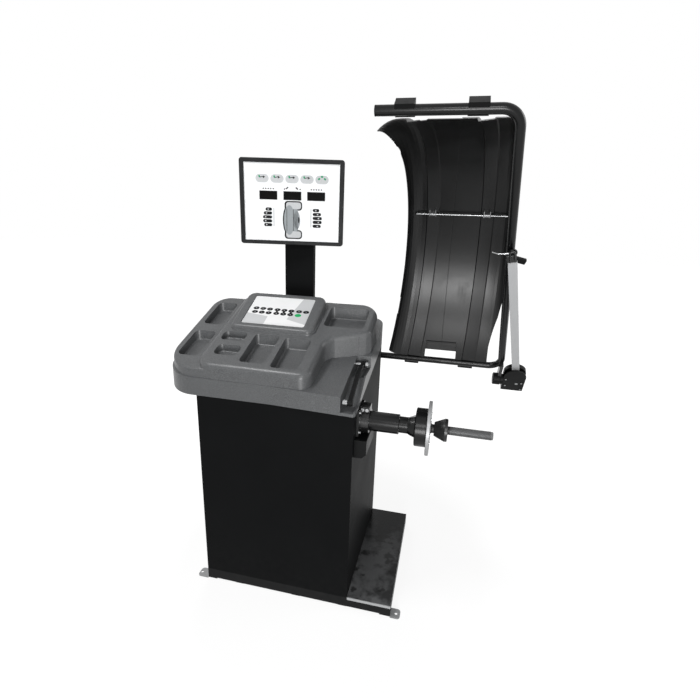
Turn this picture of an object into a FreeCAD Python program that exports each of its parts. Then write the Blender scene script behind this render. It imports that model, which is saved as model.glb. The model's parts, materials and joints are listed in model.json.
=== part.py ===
"""Floor-standing wheel balancer: cabinet, weight tray, display, spindle, wheel guard and two gauges."""
import FreeCAD, Part
import math
import os
import re
import Sketcher

DOC = FreeCAD.newDocument("WheelBalancer")
V = FreeCAD.Vector
X_AXIS = V(1, 0, 0)
Y_AXIS = V(0, 1, 0)
Z_AXIS = V(0, 0, 1)

# ------------------------------------------------------------ driving dimensions (mm; rises are mm per mm)
SIZES = {
    # chassis
    "base_len": 877.0,
    "base_deep": 659.0,
    "base_high": 52.0,
    "base_sheet": 3.0,
    "ear_thick": 5.0,
    "ear_left": 54.0,
    "ear_right": 43.0,
    "ear_wide": 50.0,
    "ear_bolt": 7.0,
    "foot_sheet": 4.0,
    # cabinet
    "cab_len": 680.0,
    "cab_sheet": 2.0,
    "cab_flange": 24.0,
    "rear_sheet": 2.0,
    # weight tray
    "tray_low": 935.0,
    "tray_rise": 0.2126,
    "tray_over": 16.0,
    "tray_band": 77.0,
    "deck_rise": 0.268,
    "top_rise": 0.404,
    "top_start": 1085.0,
    "tray_wall": 4.0,
    # spindle line
    "spin_back": -205.0,
    "spin_up": 865.0,
    "shaft_rad": 18.0,
    "seat_rad": 20.0,
    "housing_rad": 41.5,
    "bearing_rad": 34.0,
    "bearing_wide": 15.0,
    "housing_start": -60.0,
    "housing_end": 410.0,
    "hub_face": 523.5,
    "hub_rad": 79.0,
    "flange_rad": 111.0,
    "flange_thick": 14.0,
    "shaft_end": 782.0,
    "cone_start": 551.5,
    "cone_len": 54.0,
    "cone_small": 29.0,
    "cone_big": 46.5,
    # drive
    "motor_up": 560.0,
    "motor_rad": 62.0,
    "motor_len": 170.0,
    "pulley_big": 50.0,
    "pulley_small": 20.0,
    "pulley_wide": 18.0,
    "pulley_mid": -92.0,
    "belt_thick": 3.0,
    # wheel guard
    "hinge_back": 428.4,
    "hinge_up": 965.5,
    "hood_lean": 35.6,
    "hood_high": 1283.0,
    "hood_tube": 17.0,
    "hood_wall": 2.5,
    "hood_low_right": 858.0,
    "hood_top_right": 722.0,
    "hood_top_left": 275.0,
    "hood_bend": 62.0,
    "shell_low": 20.0,
    "shell_top": 1258.0,
    "shell_sag": 420.0,
    "shell_sheet": 3.0,
    # width gauge on the guard
    "arm_pivot_along": 945.0,
    "arm_pivot_up": -70.0,
    "arm_tilt": 11.0,
    "arm_reach": 817.0,
    "arm_wide": 36.0,
    "arm_thick": 6.0,
    "arm_front": 36.0,
    # distance gauge in the tray
    "rod_back": -64.5,
    "rod_up": 1062.0,
    "rod_rad": 8.0,
    # display
    "post_wide": 152.0,
    "post_deep": 35.0,
    "post_mid": -200.0,
    "post_front": 290.0,
    "post_low": 700.0,
    "post_top": 1800.0,
    "post_sheet": 3.0,
    "screen_mid": -215.5,
    "screen_wide": 500.0,
    "screen_high": 393.0,
    "screen_low": 1544.2,
    "screen_deep": 45.0,
    "screen_rim": 22.0,
    "screen_turn": 11.2,
    "screen_ahead": 19.0,
}
SHEET = DOC.addObject("Spreadsheet::Sheet", "Dims")
for row, (alias, number) in enumerate(SIZES.items(), start=1):
    SHEET.set(f"A{row}", alias)
    SHEET.set(f"B{row}", f"{number:g}")
    SHEET.setAlias(f"B{row}", alias)
DOC.recompute()
NAMES = re.compile(r"\b(" + "|".join(sorted(SIZES, key=len, reverse=True)) + r")\b")
NODES = {}


# ------------------------------------------------------------ helpers
def num(alias):
    """The number behind one named dimension."""
    return float(SHEET.get(alias))


def bound(expression):
    """Names of dimensions turned into references to the sheet."""
    return NAMES.sub(r"Dims.\1", str(expression))


def bind(thing, path, expression):
    thing.setExpression(path, bound(expression))


def put(thing, at, turn=None):
    """Places a document object; the position follows the sheet."""
    if turn is not None:
        thing.Placement = FreeCAD.Placement(V(0, 0, 0), FreeCAD.Rotation(*turn))
    for axis, expression in zip("xyz", at):
        bind(thing, f"Placement.Base.{axis}", expression)
    return thing


def box(name, at, dims):
    made = DOC.addObject("Part::Box", name)
    for path, expression in zip(("Length", "Width", "Height"), dims):
        bind(made, path, expression)
    return put(made, at)


TURNS = {"X": (Y_AXIS, 90), "Y": (X_AXIS, -90), "Z": (Z_AXIS, 0)}


def rod(name, at, radius, length, along="X"):
    """A cylinder starting at a point and running towards plus X, Y or Z."""
    made = DOC.addObject("Part::Cylinder", name)
    bind(made, "Radius", radius)
    bind(made, "Height", length)
    return put(made, at, TURNS[along])


def joined(name, *things):
    made = DOC.addObject("Part::MultiFuse", name)
    made.Shapes = list(things)
    return made


def less(name, base, *tools):
    """A base with one or more tools cut away."""
    made = DOC.addObject("Part::Cut", name)
    made.Base = base
    made.Tool = tools[0] if len(tools) == 1 else joined(name + "Tools", *tools)
    return made


def rounded(name, base, radius, wanted):
    """Fillets the edges for which wanted(edge) is true."""
    DOC.recompute()
    made = DOC.addObject("Part::Fillet", name)
    made.Base = base
    edges = [(i, radius, radius) for i, edge in enumerate(base.Shape.Edges, start=1) if wanted(edge)]
    made.Edges = edges
    return made


def straight_along(axis):
    """A test for straight edges that run along an axis."""

    def test(edge):
        if not isinstance(edge.Curve, Part.Line):
            return False
        return abs(edge.Curve.Direction.dot(axis)) > 0.999

    return test


def origin_plane(body, role):
    return next(part for part in body.Origin.OriginFeatures if part.Role == role)


def polygon(body, name, plane, points):
    """A closed sketch whose corners follow the sheet."""
    sketch = body.newObject("Sketcher::SketchObject", name)
    sketch.AttachmentSupport = [(origin_plane(body, plane), "")]
    sketch.MapMode = "FlatFace"
    count = len(points)
    start = [
        V(50 * math.cos(2 * math.pi * i / count), 50 * math.sin(2 * math.pi * i / count), 0)
        for i in range(count)
    ]
    for i in range(count):
        sketch.addGeometry(Part.LineSegment(start[i], start[(i + 1) % count]), False)
    for i in range(count):
        sketch.addConstraint(Sketcher.Constraint("Coincident", i, 2, (i + 1) % count, 1))
    for i, pair in enumerate(points):
        for kind, expression in zip(("DistanceX", "DistanceY"), pair):
            place = sketch.addConstraint(Sketcher.Constraint(kind, -1, 1, i, 1, 1.0))
            bind(sketch, f"Constraints[{place}]", expression)
    return sketch


def circles(body, name, plane, spots):
    """A sketch of round holes, each given as x, y and radius."""
    sketch = body.newObject("Sketcher::SketchObject", name)
    sketch.AttachmentSupport = [(origin_plane(body, plane), "")]
    sketch.MapMode = "FlatFace"
    for i, (x, y, radius) in enumerate(spots):
        sketch.addGeometry(Part.Circle(V(7.0 + 9.0 * i, 5.0, 0), Z_AXIS, 3.0), False)
        for kind, expression in (("DistanceX", x), ("DistanceY", y)):
            place = sketch.addConstraint(Sketcher.Constraint(kind, -1, 1, i, 3, 1.0))
            bind(sketch, f"Constraints[{place}]", expression)
        place = sketch.addConstraint(Sketcher.Constraint("Radius", i, 3.0))
        bind(sketch, f"Constraints[{place}]", radius)
    return sketch


def plate(name, plane, points, thick, at=("0", "0", "0"), flip=False, holes=()):
    """A flat piece padded from a polygon, with round holes through it."""
    body = DOC.addObject("PartDesign::Body", name)
    pad = body.newObject("PartDesign::Pad", name + "Pad")
    pad.Profile = polygon(body, name + "Outline", plane, points)
    bind(pad, "Length", thick)
    pad.Reversed = flip
    if holes:
        cut = body.newObject("PartDesign::Pocket", name + "Holes")
        cut.Profile = circles(body, name + "Circles", plane, holes)
        cut.Type = "ThroughAll"
        cut.Midplane = True
        body.Tip = cut
    return put(body, at)


def turned(name, points, at):
    """A round piece about the X direction; each point is a place along the axis and a radius."""
    body = DOC.addObject("PartDesign::Body", name)
    turn = body.newObject("PartDesign::Revolution", name + "Turn")
    sketch = polygon(body, name + "Section", "XY_Plane", points)
    turn.Profile = sketch
    turn.ReferenceAxis = (sketch, ["H_Axis"])
    turn.Angle = 360.0
    return put(body, at)


def shaped(name, shape, placement=None):
    """A document object from a shape made by the Part functions."""
    made = DOC.addObject("Part::Feature", name)
    made.Shape = shape
    if placement is not None:
        made.Placement = placement
    return made


def node(name, thing):
    """Registers a finished sub-part under its file name."""
    thing.Label = name
    NODES[name] = thing
    return thing


def rect(x0, y0, x1, y1):
    return [(x0, y0), (x1, y0), (x1, y1), (x0, y1)]


def solid_from(points, rise):
    """A prism between a closed run of 3-D points and the same run moved by a vector."""
    wire = Part.makePolygon(list(points) + [points[0]])
    return Part.Face(wire).extrude(rise)


def cut_rounds(corners, radii):
    """A closed flat wire at height zero with its corners rounded."""
    count = len(corners)
    edges = []
    ends = []
    for i in range(count):
        here = V(corners[i][0], corners[i][1], 0)
        back = V(corners[i - 1][0], corners[i - 1][1], 0) - here
        ahead = V(corners[(i + 1) % count][0], corners[(i + 1) % count][1], 0) - here
        back.normalize()
        ahead.normalize()
        if radii[i] <= 0:
            ends.append((here, None, here))
            continue
        half = back.getAngle(ahead) / 2
        reach = radii[i] / math.tan(half)
        middle = back + ahead
        middle.normalize()
        dip = here + middle * (radii[i] / math.sin(half) - radii[i])
        ends.append((here + back * reach, dip, here + ahead * reach))
    for i in range(count):
        first, dip, last = ends[i]
        if dip is not None:
            edges.append(Part.Arc(first, dip, last).toShape())
        following = ends[(i + 1) % count][0]
        if (following - last).Length > 1e-4:
            edges.append(Part.LineSegment(last, following).toShape())
    return Part.Wire(edges)


def column(corners, radii, low, high):
    """An upright prism with rounded corners."""
    base = Part.Face(cut_rounds(corners, radii))
    base.translate(V(0, 0, low))
    return base.extrude(V(0, 0, high - low))


def above(start_y, start_z, rise, keep_low=True):
    """A big block filling the space above (or below) a plane that climbs towards plus Y."""
    far = 1500.0
    top = 3000.0 if keep_low else -3000.0
    points = [
        V(-far, start_y - far, start_z - far * rise),
        V(-far, start_y + far, start_z + far * rise),
        V(-far, start_y + far, top),
        V(-far, start_y - far, top),
    ]
    return solid_from(points, V(2 * far, 0, 0))


def block(x0, y0, z0, x1, y1, z1):
    return Part.makeBox(x1 - x0, y1 - y0, z1 - z0, V(x0, y0, z0))


def crest_edges(shape, rise):
    """Edges of the sloping top face of a prism."""
    normal = V(0, -rise, 1)
    normal.normalize()
    faces = [face for face in shape.Faces if isinstance(face.Surface, Part.Plane)]
    tops = [face for face in faces if face.normalAt(0, 0).dot(normal) > 0.9999]
    return tops[0].OuterWire.Edges if tops else []


LEFT = "-base_len/2"
FRONT = "-base_deep/2"
CAB_RIGHT = "(cab_len-base_len/2)"
CAB_REAR = "(base_deep/2-rear_sheet)"


def under_tray(y):
    """The height of the plane on which the tray rests, at a place given as text."""
    return f"(tray_low+tray_rise*(({y})+base_deep/2+tray_over))"


# ------------------------------------------------------------ chassis
def ear_corner(edge):
    return straight_along(Z_AXIS)(edge) and abs(edge.CenterOfMass.x) > num("base_len") / 2 + 20


def build_chassis():
    skirt = DOC.addObject("PartDesign::Body", "Chassis")
    pad = skirt.newObject("PartDesign::Pad", "ChassisPad")
    corners = rect("-base_len/2", "-base_deep/2", "base_len/2", "base_deep/2")
    pad.Profile = polygon(skirt, "ChassisOutline", "XY_Plane", corners)
    bind(pad, "Length", "base_high")
    hollow = skirt.newObject("PartDesign::Pocket", "ChassisHollow")
    inner = rect(
        "-base_len/2+base_sheet", "-base_deep/2+base_sheet", "base_len/2-base_sheet", "base_deep/2-base_sheet"
    )
    hollow.Profile = polygon(skirt, "ChassisInside", "XY_Plane", inner)
    hollow.Reversed = True
    bind(hollow, "Length", "base_high-base_sheet")
    beams = []
    for i, along in enumerate(("-300", "-20", "200")):
        at = (along, "-base_deep/2+base_sheet", "0")
        beams.append(box(f"Beam{i}", at, ("40", "base_deep-2*base_sheet", "base_high-base_sheet")))
    frame = joined("ChassisFrame", skirt, *beams)
    reliefs = [
        box(f"SkirtRelief{i}", ("-base_len/2+44", y0, "-1"), ("base_len-92", "base_sheet+1.5", "6"))
        for i, y0 in enumerate(("-base_deep/2-1", "base_deep/2-base_sheet-0.5"))
    ]
    node("base_frame", less("BaseFrame", frame, *reliefs))

    ears = []
    for i, side in enumerate((-1, 1)):
        ear_len = "ear_left" if side < 0 else "ear_right"
        x0 = "-base_len/2-ear_left" if side < 0 else "base_len/2"
        y0 = "-base_deep/2-6"
        tab = box(f"EarPlate{i}", (x0, y0, "0"), (ear_len, "ear_wide", "ear_thick"))
        soft = rounded(f"EarSoft{i}", tab, 14.0, ear_corner)
        centre = "-base_len/2-ear_left+10" if side < 0 else "base_len/2+ear_right-18"
        bolt = rod(f"EarHole{i}", (centre, y0 + "+ear_wide/2", "-1"), "ear_bolt", "ear_thick+2", "Z")
        ears.append(less(f"Ear{i}", soft, bolt))
    node("floor_ears", joined("FloorEars", *ears))

    foot = box(
        "FootPlate",
        (CAB_RIGHT, FRONT, "base_high"),
        ("base_len/2-" + CAB_RIGHT, "base_deep", "foot_sheet"),
    )
    node("footplate", rounded("FootPlateSoft", foot, 1.2, lambda e: e.CenterOfMass.z > num("base_high") + 3))
    lip = box(
        "FootLip",
        (CAB_RIGHT + "+2", "-base_deep/2-3", "base_high-8"),
        ("base_len/2-" + CAB_RIGHT + "-2", "3", "foot_sheet+8"),
    )
    node("footplate_lip", lip)


# ------------------------------------------------------------ cabinet
def build_cabinet():
    low = "base_high"
    outline = [
        (FRONT, low),
        (CAB_REAR, low),
        (CAB_REAR, under_tray(CAB_REAR)),
        (FRONT, under_tray(FRONT)),
    ]
    outer = plate("CabinetOuter", "YZ_Plane", outline, "cab_len", (LEFT, "0", "0"))
    inside = [
        (FRONT + "+cab_sheet", low + "-1"),
        (CAB_REAR + "-cab_sheet", low + "-1"),
        (CAB_REAR + "-cab_sheet", under_tray(CAB_REAR + "-cab_sheet") + "-cab_sheet"),
        (FRONT + "+cab_sheet", under_tray(FRONT + "+cab_sheet") + "-cab_sheet"),
    ]
    inner = plate("CabinetInner", "YZ_Plane", inside, "cab_len-2*cab_sheet", (LEFT + "+cab_sheet", "0", "0"))
    mouth = box(
        "CabinetMouth",
        (LEFT + "+cab_flange", FRONT + "+cab_flange", "tray_low-60"),
        ("cab_len-2*cab_flange", "base_deep-2*cab_flange", "400"),
    )
    doorway = box(
        "CabinetDoorway",
        (LEFT + "+cab_flange", "base_deep/2-60", low + "+20"),
        ("cab_len-2*cab_flange", "200", "tray_low-base_high-20"),
    )
    bore = rod("CabinetBore", (CAB_RIGHT + "-20", "spin_back", "spin_up"), "housing_rad+4", "40")
    notch = box(
        "CabinetNotch",
        ("post_mid-post_wide/2-1", "post_front-1", "tray_low-60"),
        ("post_wide+2", CAB_REAR + "-cab_sheet-post_front+1", "400"),
    )
    shell = less("CabinetShell", outer, inner, mouth, doorway, bore, notch)
    node("cabinet_shell", shell)

    top = under_tray(CAB_REAR) + "-6"
    sheet = box(
        "RearSheet",
        (LEFT + "+1", CAB_REAR, low + "+2"),
        ("cab_len-2", "rear_sheet", top + "-base_high-2"),
    )
    cuts = []
    for side in range(2):
        for level in range(7):
            x0 = f"({-300 + side * 250})"
            z0 = f"({250 + level * 26})"
            cuts.append(box(f"Vent{side}{level}", (x0, CAB_REAR + "-5", z0), ("150", "20", "8")))
    cuts.append(box("InletHole", ("130", CAB_REAR + "-5", "160"), ("27", "20", "47")))
    cuts.append(box("SwitchHole", ("180", CAB_REAR + "-5", "160"), ("22", "20", "47")))
    node("rear_panel", less("RearPanel", sheet, *cuts))

    heads = []
    spots = [(x, z) for z in (90, 350, 610, 860) for x in (LEFT + "+12.5", CAB_RIGHT + "-12.5")]
    for i, (x, z) in enumerate(spots):
        head = rod(f"RearScrewHead{i}", (x, "base_deep/2", z), "5", "3", "Y")
        heads.append(
            rounded(f"RearScrew{i}", head, 1.6, lambda e: e.CenterOfMass.y > num("base_deep") / 2 + 2),
        )
    for i, (x, dz) in enumerate(((-12, -65), (214, -65), (-12, 65), (214, 65), (101, -65), (101, 65))):
        heads.append(rod(f"HingeBolt{i}", (x, "base_deep/2+8", f"hinge_up+({dz})"), "8", "6", "Y"))
    node("rear_fasteners", joined("RearFasteners", *heads))


# ------------------------------------------------------------ weight tray
TRAY_LEFT = -612.0
TRAY_REAR = 205.0
BLOCK_LEFT = -450.0
BLOCK_RIGHT = 58.0
RECESS_LEFT = 190.0
RECESS_RIM = 243.0
POCKETS = {
    "small_rear": (-412.0, -162.0, -300.0, -103.0, 20.0, 32.0),
    "small_front": (-396.0, -258.0, -287.0, -193.0, 22.0, 32.0),
    "mid": (-263.0, -288.0, -148.0, -104.0, 16.0, 48.0),
    "right": (-120.0, -302.0, 0.0, -115.0, 16.0, 48.0),
    "rear_right": (18.0, -8.0, 205.0, 140.0, 18.0, 55.0),
}
WING_POCKETS = {
    "wing_front": (-574.0, -248.0, -470.0, -78.0, 24.0, 42.0),
    "wing_rear": (-572.0, -26.0, -472.0, 150.0, 22.0, 42.0),
}


def top_z(y, drop=0.0):
    return num("top_start") - drop + num("top_rise") * (y + 309.5)


def deck_z(y):
    return num("tray_low") + num("tray_band") + num("deck_rise") * (
        y + num("base_deep") / 2 + num("tray_over")
    )


def under_z(y):
    return num("tray_low") + num("tray_rise") * (y + num("base_deep") / 2 + num("tray_over"))


def slab(inset):
    """The low band of the tray, drawn in by a distance."""
    front = -num("base_deep") / 2 - num("tray_over") - 2.0
    right = num("cab_len") - num("base_len") / 2 + 10.0
    rear = num("base_deep") / 2 - 3.0
    corners = [
        (right - inset, front + inset),
        (right - inset, rear - inset),
        (-446.0 + inset, rear - inset),
        (-446.0 + inset, TRAY_REAR - inset),
        (TRAY_LEFT + inset, TRAY_REAR - inset),
        (TRAY_LEFT + inset, front + 16.5 + inset),
        (-110.0, front + 16.5 + inset),
    ]
    radii = [max(14.0 - inset, 2.0), 70.0 - inset, 6.0, 0.0, 84.0 - inset, 150.0 - inset, 900.0]
    solid = column(corners, radii, 850.0, 1500.0)
    solid = solid.cut(above(0.0, deck_z(0.0) - inset, num("deck_rise")))
    return solid


def soft_top(solid, rise, radius):
    return solid.makeFillet(radius, crest_edges(solid, rise))


def wing(inset):
    corners = [
        (-380.0, TRAY_REAR - inset),
        (TRAY_LEFT + 8.0 + inset, TRAY_REAR - inset),
        (TRAY_LEFT + 8.0 + inset, -323.0 + inset),
        (-380.0, -323.0 + inset),
    ]
    radii = [0.0, 80.0 - inset, 142.0 - inset, 0.0]
    solid = column(corners, radii, 960.0, 1500.0)
    solid = solid.cut(above(0.0, top_z(0.0, 25.0) - inset, num("top_rise")))
    return soft_top(solid, num("top_rise"), 9.0 - inset / 2)


def raised(inset):
    corners = [
        (BLOCK_RIGHT - inset, -330.0 + inset),
        (BLOCK_RIGHT - inset, -92.0 + inset),
        (244.0 - inset, -22.0 + inset),
        (244.0 - inset, TRAY_REAR - inset),
        (BLOCK_LEFT + inset, TRAY_REAR - inset),
        (BLOCK_LEFT + inset, -326.0 + inset),
    ]
    radii = [48.0 - inset, 58.0 + inset, 34.0 - inset, 92.0 - inset, 40.0 - inset, 76.0 - inset]
    solid = column(corners, radii, 960.0, 1500.0)
    solid = solid.cut(above(0.0, top_z(0.0) - inset, num("top_rise")))
    return soft_top(solid, num("top_rise"), 26.0 - inset)


def pocket_cavity(spot, drop, grow=0.0):
    """The hollow of one tray pocket, with a floor parallel to the top and soft bottom edges."""
    x0, y0, x1, y1, radius, deep = spot
    corners = [(x0 - grow, y0 - grow), (x1 + grow, y0 - grow), (x1 + grow, y1 + grow), (x0 - grow, y1 + grow)]
    solid = column(corners, [radius + grow] * 4, 980.0, 1500.0)
    rise = num("top_rise")
    low = above(0.0, top_z(0.0, drop) - deep - grow, rise, keep_low=False)
    solid = solid.cut(low)
    normal = V(0, rise, -1)
    normal.normalize()
    floors = [
        f for f in solid.Faces if isinstance(f.Surface, Part.Plane) and f.normalAt(0, 0).dot(normal) > 0.9999
    ]
    return solid.makeFillet(8.0, floors[0].OuterWire.Edges)


def recess_cavity(grow=0.0):
    """The open nook for the distance gauge, with a low rim along its right side."""
    floor = [
        (-420.0, 941.0),
        (-285.0, 953.5),
        (-150.0, 1030.0),
        (-40.0, 1034.0),
        (-40.0, 1400.0),
        (-420.0, 1400.0),
    ]
    parts = []
    for right, lift in ((RECESS_RIM, 0.0), (400.0, 8.0)):
        points = []
        for y, z in floor:
            back = grow if y > -50 else 0.0
            down = lift - grow if z < 1100 else 0.0
            points.append(V(RECESS_LEFT - grow, y + back, z + down))
        parts.append(solid_from(points, V(right - RECESS_LEFT + grow, 0, 0)))
    return parts[0].fuse(parts[1])


def build_tray():
    wall = num("tray_wall")
    outer = slab(0.0).fuse([wing(0.0), raised(0.0)])
    inner = slab(wall).fuse([wing(wall), raised(wall)])
    rail = 40.0
    left = -num("base_len") / 2
    right = num("cab_len") - num("base_len") / 2
    front = -num("base_deep") / 2
    over_cabinet = block(left + rail, front + rail, 800, right - rail, 300.0, 1500)
    over_left = block(-700.0, -400.0, 800, left - 8.0, 400.0, 1500)
    above_rail = above(0.0, under_z(0.0) + 34.0, num("tray_rise"))
    hollow = inner.common(over_cabinet.fuse([over_left, above_rail]))
    keep = [pocket_cavity(spot, 0.0, 3.0) for spot in POCKETS.values()]
    keep += [pocket_cavity(spot, 25.0, 3.0) for spot in WING_POCKETS.values()]
    keep.append(recess_cavity(4.0))
    for solid in keep:
        hollow = hollow.cut(solid)
    voids = [pocket_cavity(spot, 0.0) for spot in POCKETS.values()]
    voids += [pocket_cavity(spot, 25.0) for spot in WING_POCKETS.values()]
    voids.append(recess_cavity())
    voids.append(above(0.0, under_z(0.0), num("tray_rise"), keep_low=False))
    post = num("post_wide") / 2 + 2.0
    voids.append(
        block(num("post_mid") - post, num("post_front") - 2.0, 800, num("post_mid") + post, 400.0, 1500),
    )
    bush = Part.makeCylinder(11.0, 30.0, V(170.0, num("rod_back"), num("rod_up")), X_AXIS)
    voids.append(bush)
    tray = outer.cut(hollow)
    for solid in voids:
        tray = tray.cut(solid)
    tray = tray.removeSplitter()
    biggest = max(tray.Solids, key=lambda s: s.Volume)
    node("weight_tray", shaped("WeightTray", biggest))


CONSOLE = (-403.0, -86.0, -6.0, 152.0)
CONSOLE_RISE = 0.53


def console_z(y):
    return top_z(CONSOLE[1]) + 19.0 + CONSOLE_RISE * (y - CONSOLE[1])


def build_console():
    x0, y0, x1, y1 = CONSOLE
    body = column([(x0, y0), (x1, y0), (x1, y1), (x0, y1)], [34.0, 34.0, 40.0, 40.0], 1050.0, 1500.0)
    body = body.cut(above(0.0, console_z(0.0), CONSOLE_RISE))
    body = soft_top(body, CONSOLE_RISE, 15.0)
    foot = column(
        [(x0 - 5, y0 - 5), (x1 + 5, y0 - 5), (x1 + 5, y1 + 5), (x0 - 5, y1 + 5)],
        [39.0] * 4,
        1050.0,
        1500.0,
    )
    foot = foot.cut(above(0.0, top_z(0.0) + 7.0, num("top_rise")))
    body = body.fuse(foot).cut(above(0.0, top_z(0.0), num("top_rise"), keep_low=False))
    inside = [(x0 + 45, y0 + 20), (x1 - 48, y0 + 20), (x1 - 48, y1 - 32), (x0 + 45, y1 - 32)]
    sunk = column(inside, [9.0] * 4, 1000.0, 1500.0)
    sunk = sunk.cut(above(0.0, console_z(0.0) - 6.0, CONSOLE_RISE, keep_low=False))
    node("keypad_console", shaped("KeypadConsole", body.cut(sunk)))
    film = [(x0 + 47, y0 + 22), (x1 - 50, y0 + 22), (x1 - 50, y1 - 34), (x0 + 47, y1 - 34)]
    skin = column(film, [7.0] * 4, 1000.0, 1500.0)
    skin = skin.cut(above(0.0, console_z(0.0) - 5.9, CONSOLE_RISE, keep_low=False))
    skin = skin.cut(above(0.0, console_z(0.0) - 4.2, CONSOLE_RISE))
    node("keypad_membrane", shaped("KeypadMembrane", skin))


# ------------------------------------------------------------ spindle and drive
def build_spindle():
    line = ("0", "spin_back", "spin_up")
    span = "housing_end-housing_start"
    tube = rod("HousingTube", ("housing_start", "spin_back", "spin_up"), "housing_rad", span)
    core = rod("HousingCore", ("housing_start-1", "spin_back", "spin_up"), "bearing_rad-4", span + "+2")
    seats = [
        rod("SeatRear", ("housing_start-1", "spin_back", "spin_up"), "bearing_rad+0.03", "bearing_wide+3"),
        rod(
            "SeatFront",
            ("housing_end-bearing_wide-2", "spin_back", "spin_up"),
            "bearing_rad+0.03",
            "bearing_wide+4",
        ),
    ]
    node("spindle_housing", less("SpindleHousing", tube, core, *seats))

    races = []
    inners = []
    starts = ("housing_start+2", "housing_end-bearing_wide-2")
    for i, start in enumerate(starts):
        races.append(
            turned(
                f"OuterRace{i}",
                rect("0", "bearing_rad-4.5", "bearing_wide", "bearing_rad"),
                (start, "spin_back", "spin_up"),
            )
        )
        inners.append(
            turned(
                f"InnerRace{i}",
                rect("0", "seat_rad", "bearing_wide", "seat_rad+4.5"),
                (start, "spin_back", "spin_up"),
            )
        )
        ball_ring = "((bearing_rad+seat_rad)/2-0.12)"
        for k in range(9):
            angle = 2 * math.pi * k / 9
            ball = DOC.addObject("Part::Sphere", f"Ball{i}{k}")
            bind(ball, "Radius", "(bearing_rad-seat_rad-9)/2-0.14")
            side = f"spin_back+{math.cos(angle):.5f}*{ball_ring}"
            high = f"spin_up+{math.sin(angle):.5f}*{ball_ring}"
            put(ball, (start + "+bearing_wide/2", side, high))
            inners.append(ball)
    node("bearing_outer_races", joined("BearingOuterRaces", *races))
    node("bearing_inner_races", joined("BearingInnerRaces", *inners))

    shaft_points = [
        ("-125", "0"),
        ("-125", "15"),
        ("-124", "16"),
        ("housing_start-3", "16"),
        ("housing_start-3", "seat_rad+6"),
        ("housing_start+2", "seat_rad+6"),
        ("housing_start+2", "seat_rad"),
        ("hub_face+flange_thick+4", "seat_rad"),
        ("hub_face+flange_thick+6", "shaft_rad"),
        ("607", "shaft_rad"),
        ("608", "shaft_rad-0.8"),
        ("610", "shaft_rad-0.8"),
        ("611", "shaft_rad"),
        ("shaft_end-3", "shaft_rad"),
        ("shaft_end", "shaft_rad-3"),
        ("shaft_end", "0"),
    ]
    shaft_points[3:7] = [("housing_start-16", "16"), ("housing_start-14", "seat_rad")]
    node("spindle_shaft", turned("SpindleShaft", shaft_points, line))

    hub = [
        ("housing_end+2", "seat_rad"),
        ("housing_end+2", "34"),
        ("hub_face-78", "34"),
        ("hub_face-66", "40"),
        ("hub_face-50", "46"),
        ("hub_face-47", "hub_rad-3"),
        ("hub_face-44", "hub_rad"),
        ("hub_face-3", "hub_rad"),
        ("hub_face", "hub_rad-3"),
        ("hub_face", "seat_rad"),
    ]
    node("hub", turned("Hub", hub, line))
    plate_points = [
        ("hub_face", "seat_rad"),
        ("hub_face", "flange_rad-2"),
        ("hub_face+2", "flange_rad"),
        ("hub_face+flange_thick-2", "flange_rad"),
        ("hub_face+flange_thick", "flange_rad-2"),
        ("hub_face+flange_thick", "flange_rad-14"),
        ("hub_face+flange_thick-3", "flange_rad-17"),
        ("hub_face+flange_thick-3", "34"),
        ("hub_face+flange_thick", "31"),
        ("hub_face+flange_thick", "seat_rad"),
    ]
    node("flange_plate", turned("FlangePlate", plate_points, line))
    bolts = []
    for k in range(6):
        angle = 2 * math.pi * k / 6
        side = f"spin_back+{math.cos(angle) * 60:.4f}"
        high = f"spin_up+{math.sin(angle) * 60:.4f}"
        head = rod(f"FlangeBoltHead{k}", ("hub_face+flange_thick-3", side, high), "6.5", "5")
        socket = rod(f"FlangeBoltSocket{k}", ("hub_face+flange_thick-1", side, high), "3.2", "6")
        bolts.append(less(f"FlangeBolt{k}", head, socket))
    node("flange_bolts", joined("FlangeBolts", *bolts))

    cone_points = [
        ("0", "shaft_rad+0.1"),
        ("0", "cone_small-2"),
        ("2", "cone_small"),
        ("cone_len-12", "cone_big"),
        ("cone_len-2", "cone_big"),
        ("cone_len", "cone_big-2"),
        ("cone_len", "cone_big-11"),
        ("cone_len-8", "cone_big-13"),
        ("cone_len-8", "shaft_rad+7"),
        ("cone_len", "shaft_rad+5"),
        ("cone_len", "shaft_rad+0.1"),
    ]
    node("centring_cone", turned("CentringCone", cone_points, ("cone_start", "spin_back", "spin_up")))

    big = [
        ("-pulley_wide/2", "16"),
        ("-pulley_wide/2", "pulley_big+2"),
        ("-pulley_wide/2+2", "pulley_big+2"),
        ("-pulley_wide/2+2.5", "pulley_big"),
        ("pulley_wide/2-2.5", "pulley_big"),
        ("pulley_wide/2-2", "pulley_big+2"),
        ("pulley_wide/2", "pulley_big+2"),
        ("pulley_wide/2", "16"),
    ]
    node("drive_pulley", turned("DrivePulley", big, ("pulley_mid", "spin_back", "spin_up")))
    disc = turned("EncoderBlank", rect("0", "16", "2", "56"), ("-118", "spin_back", "spin_up"))
    slots = []
    for k in range(24):
        angle = 2 * math.pi * k / 24
        side = f"spin_back+{math.cos(angle) * 50:.4f}"
        high = f"spin_up+{math.sin(angle) * 50:.4f}"
        slots.append(rod(f"EncoderSlot{k}", ("-119", side, high), "2.4", "4"))
    node("encoder_disc", less("EncoderDisc", disc, *slots))


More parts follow.
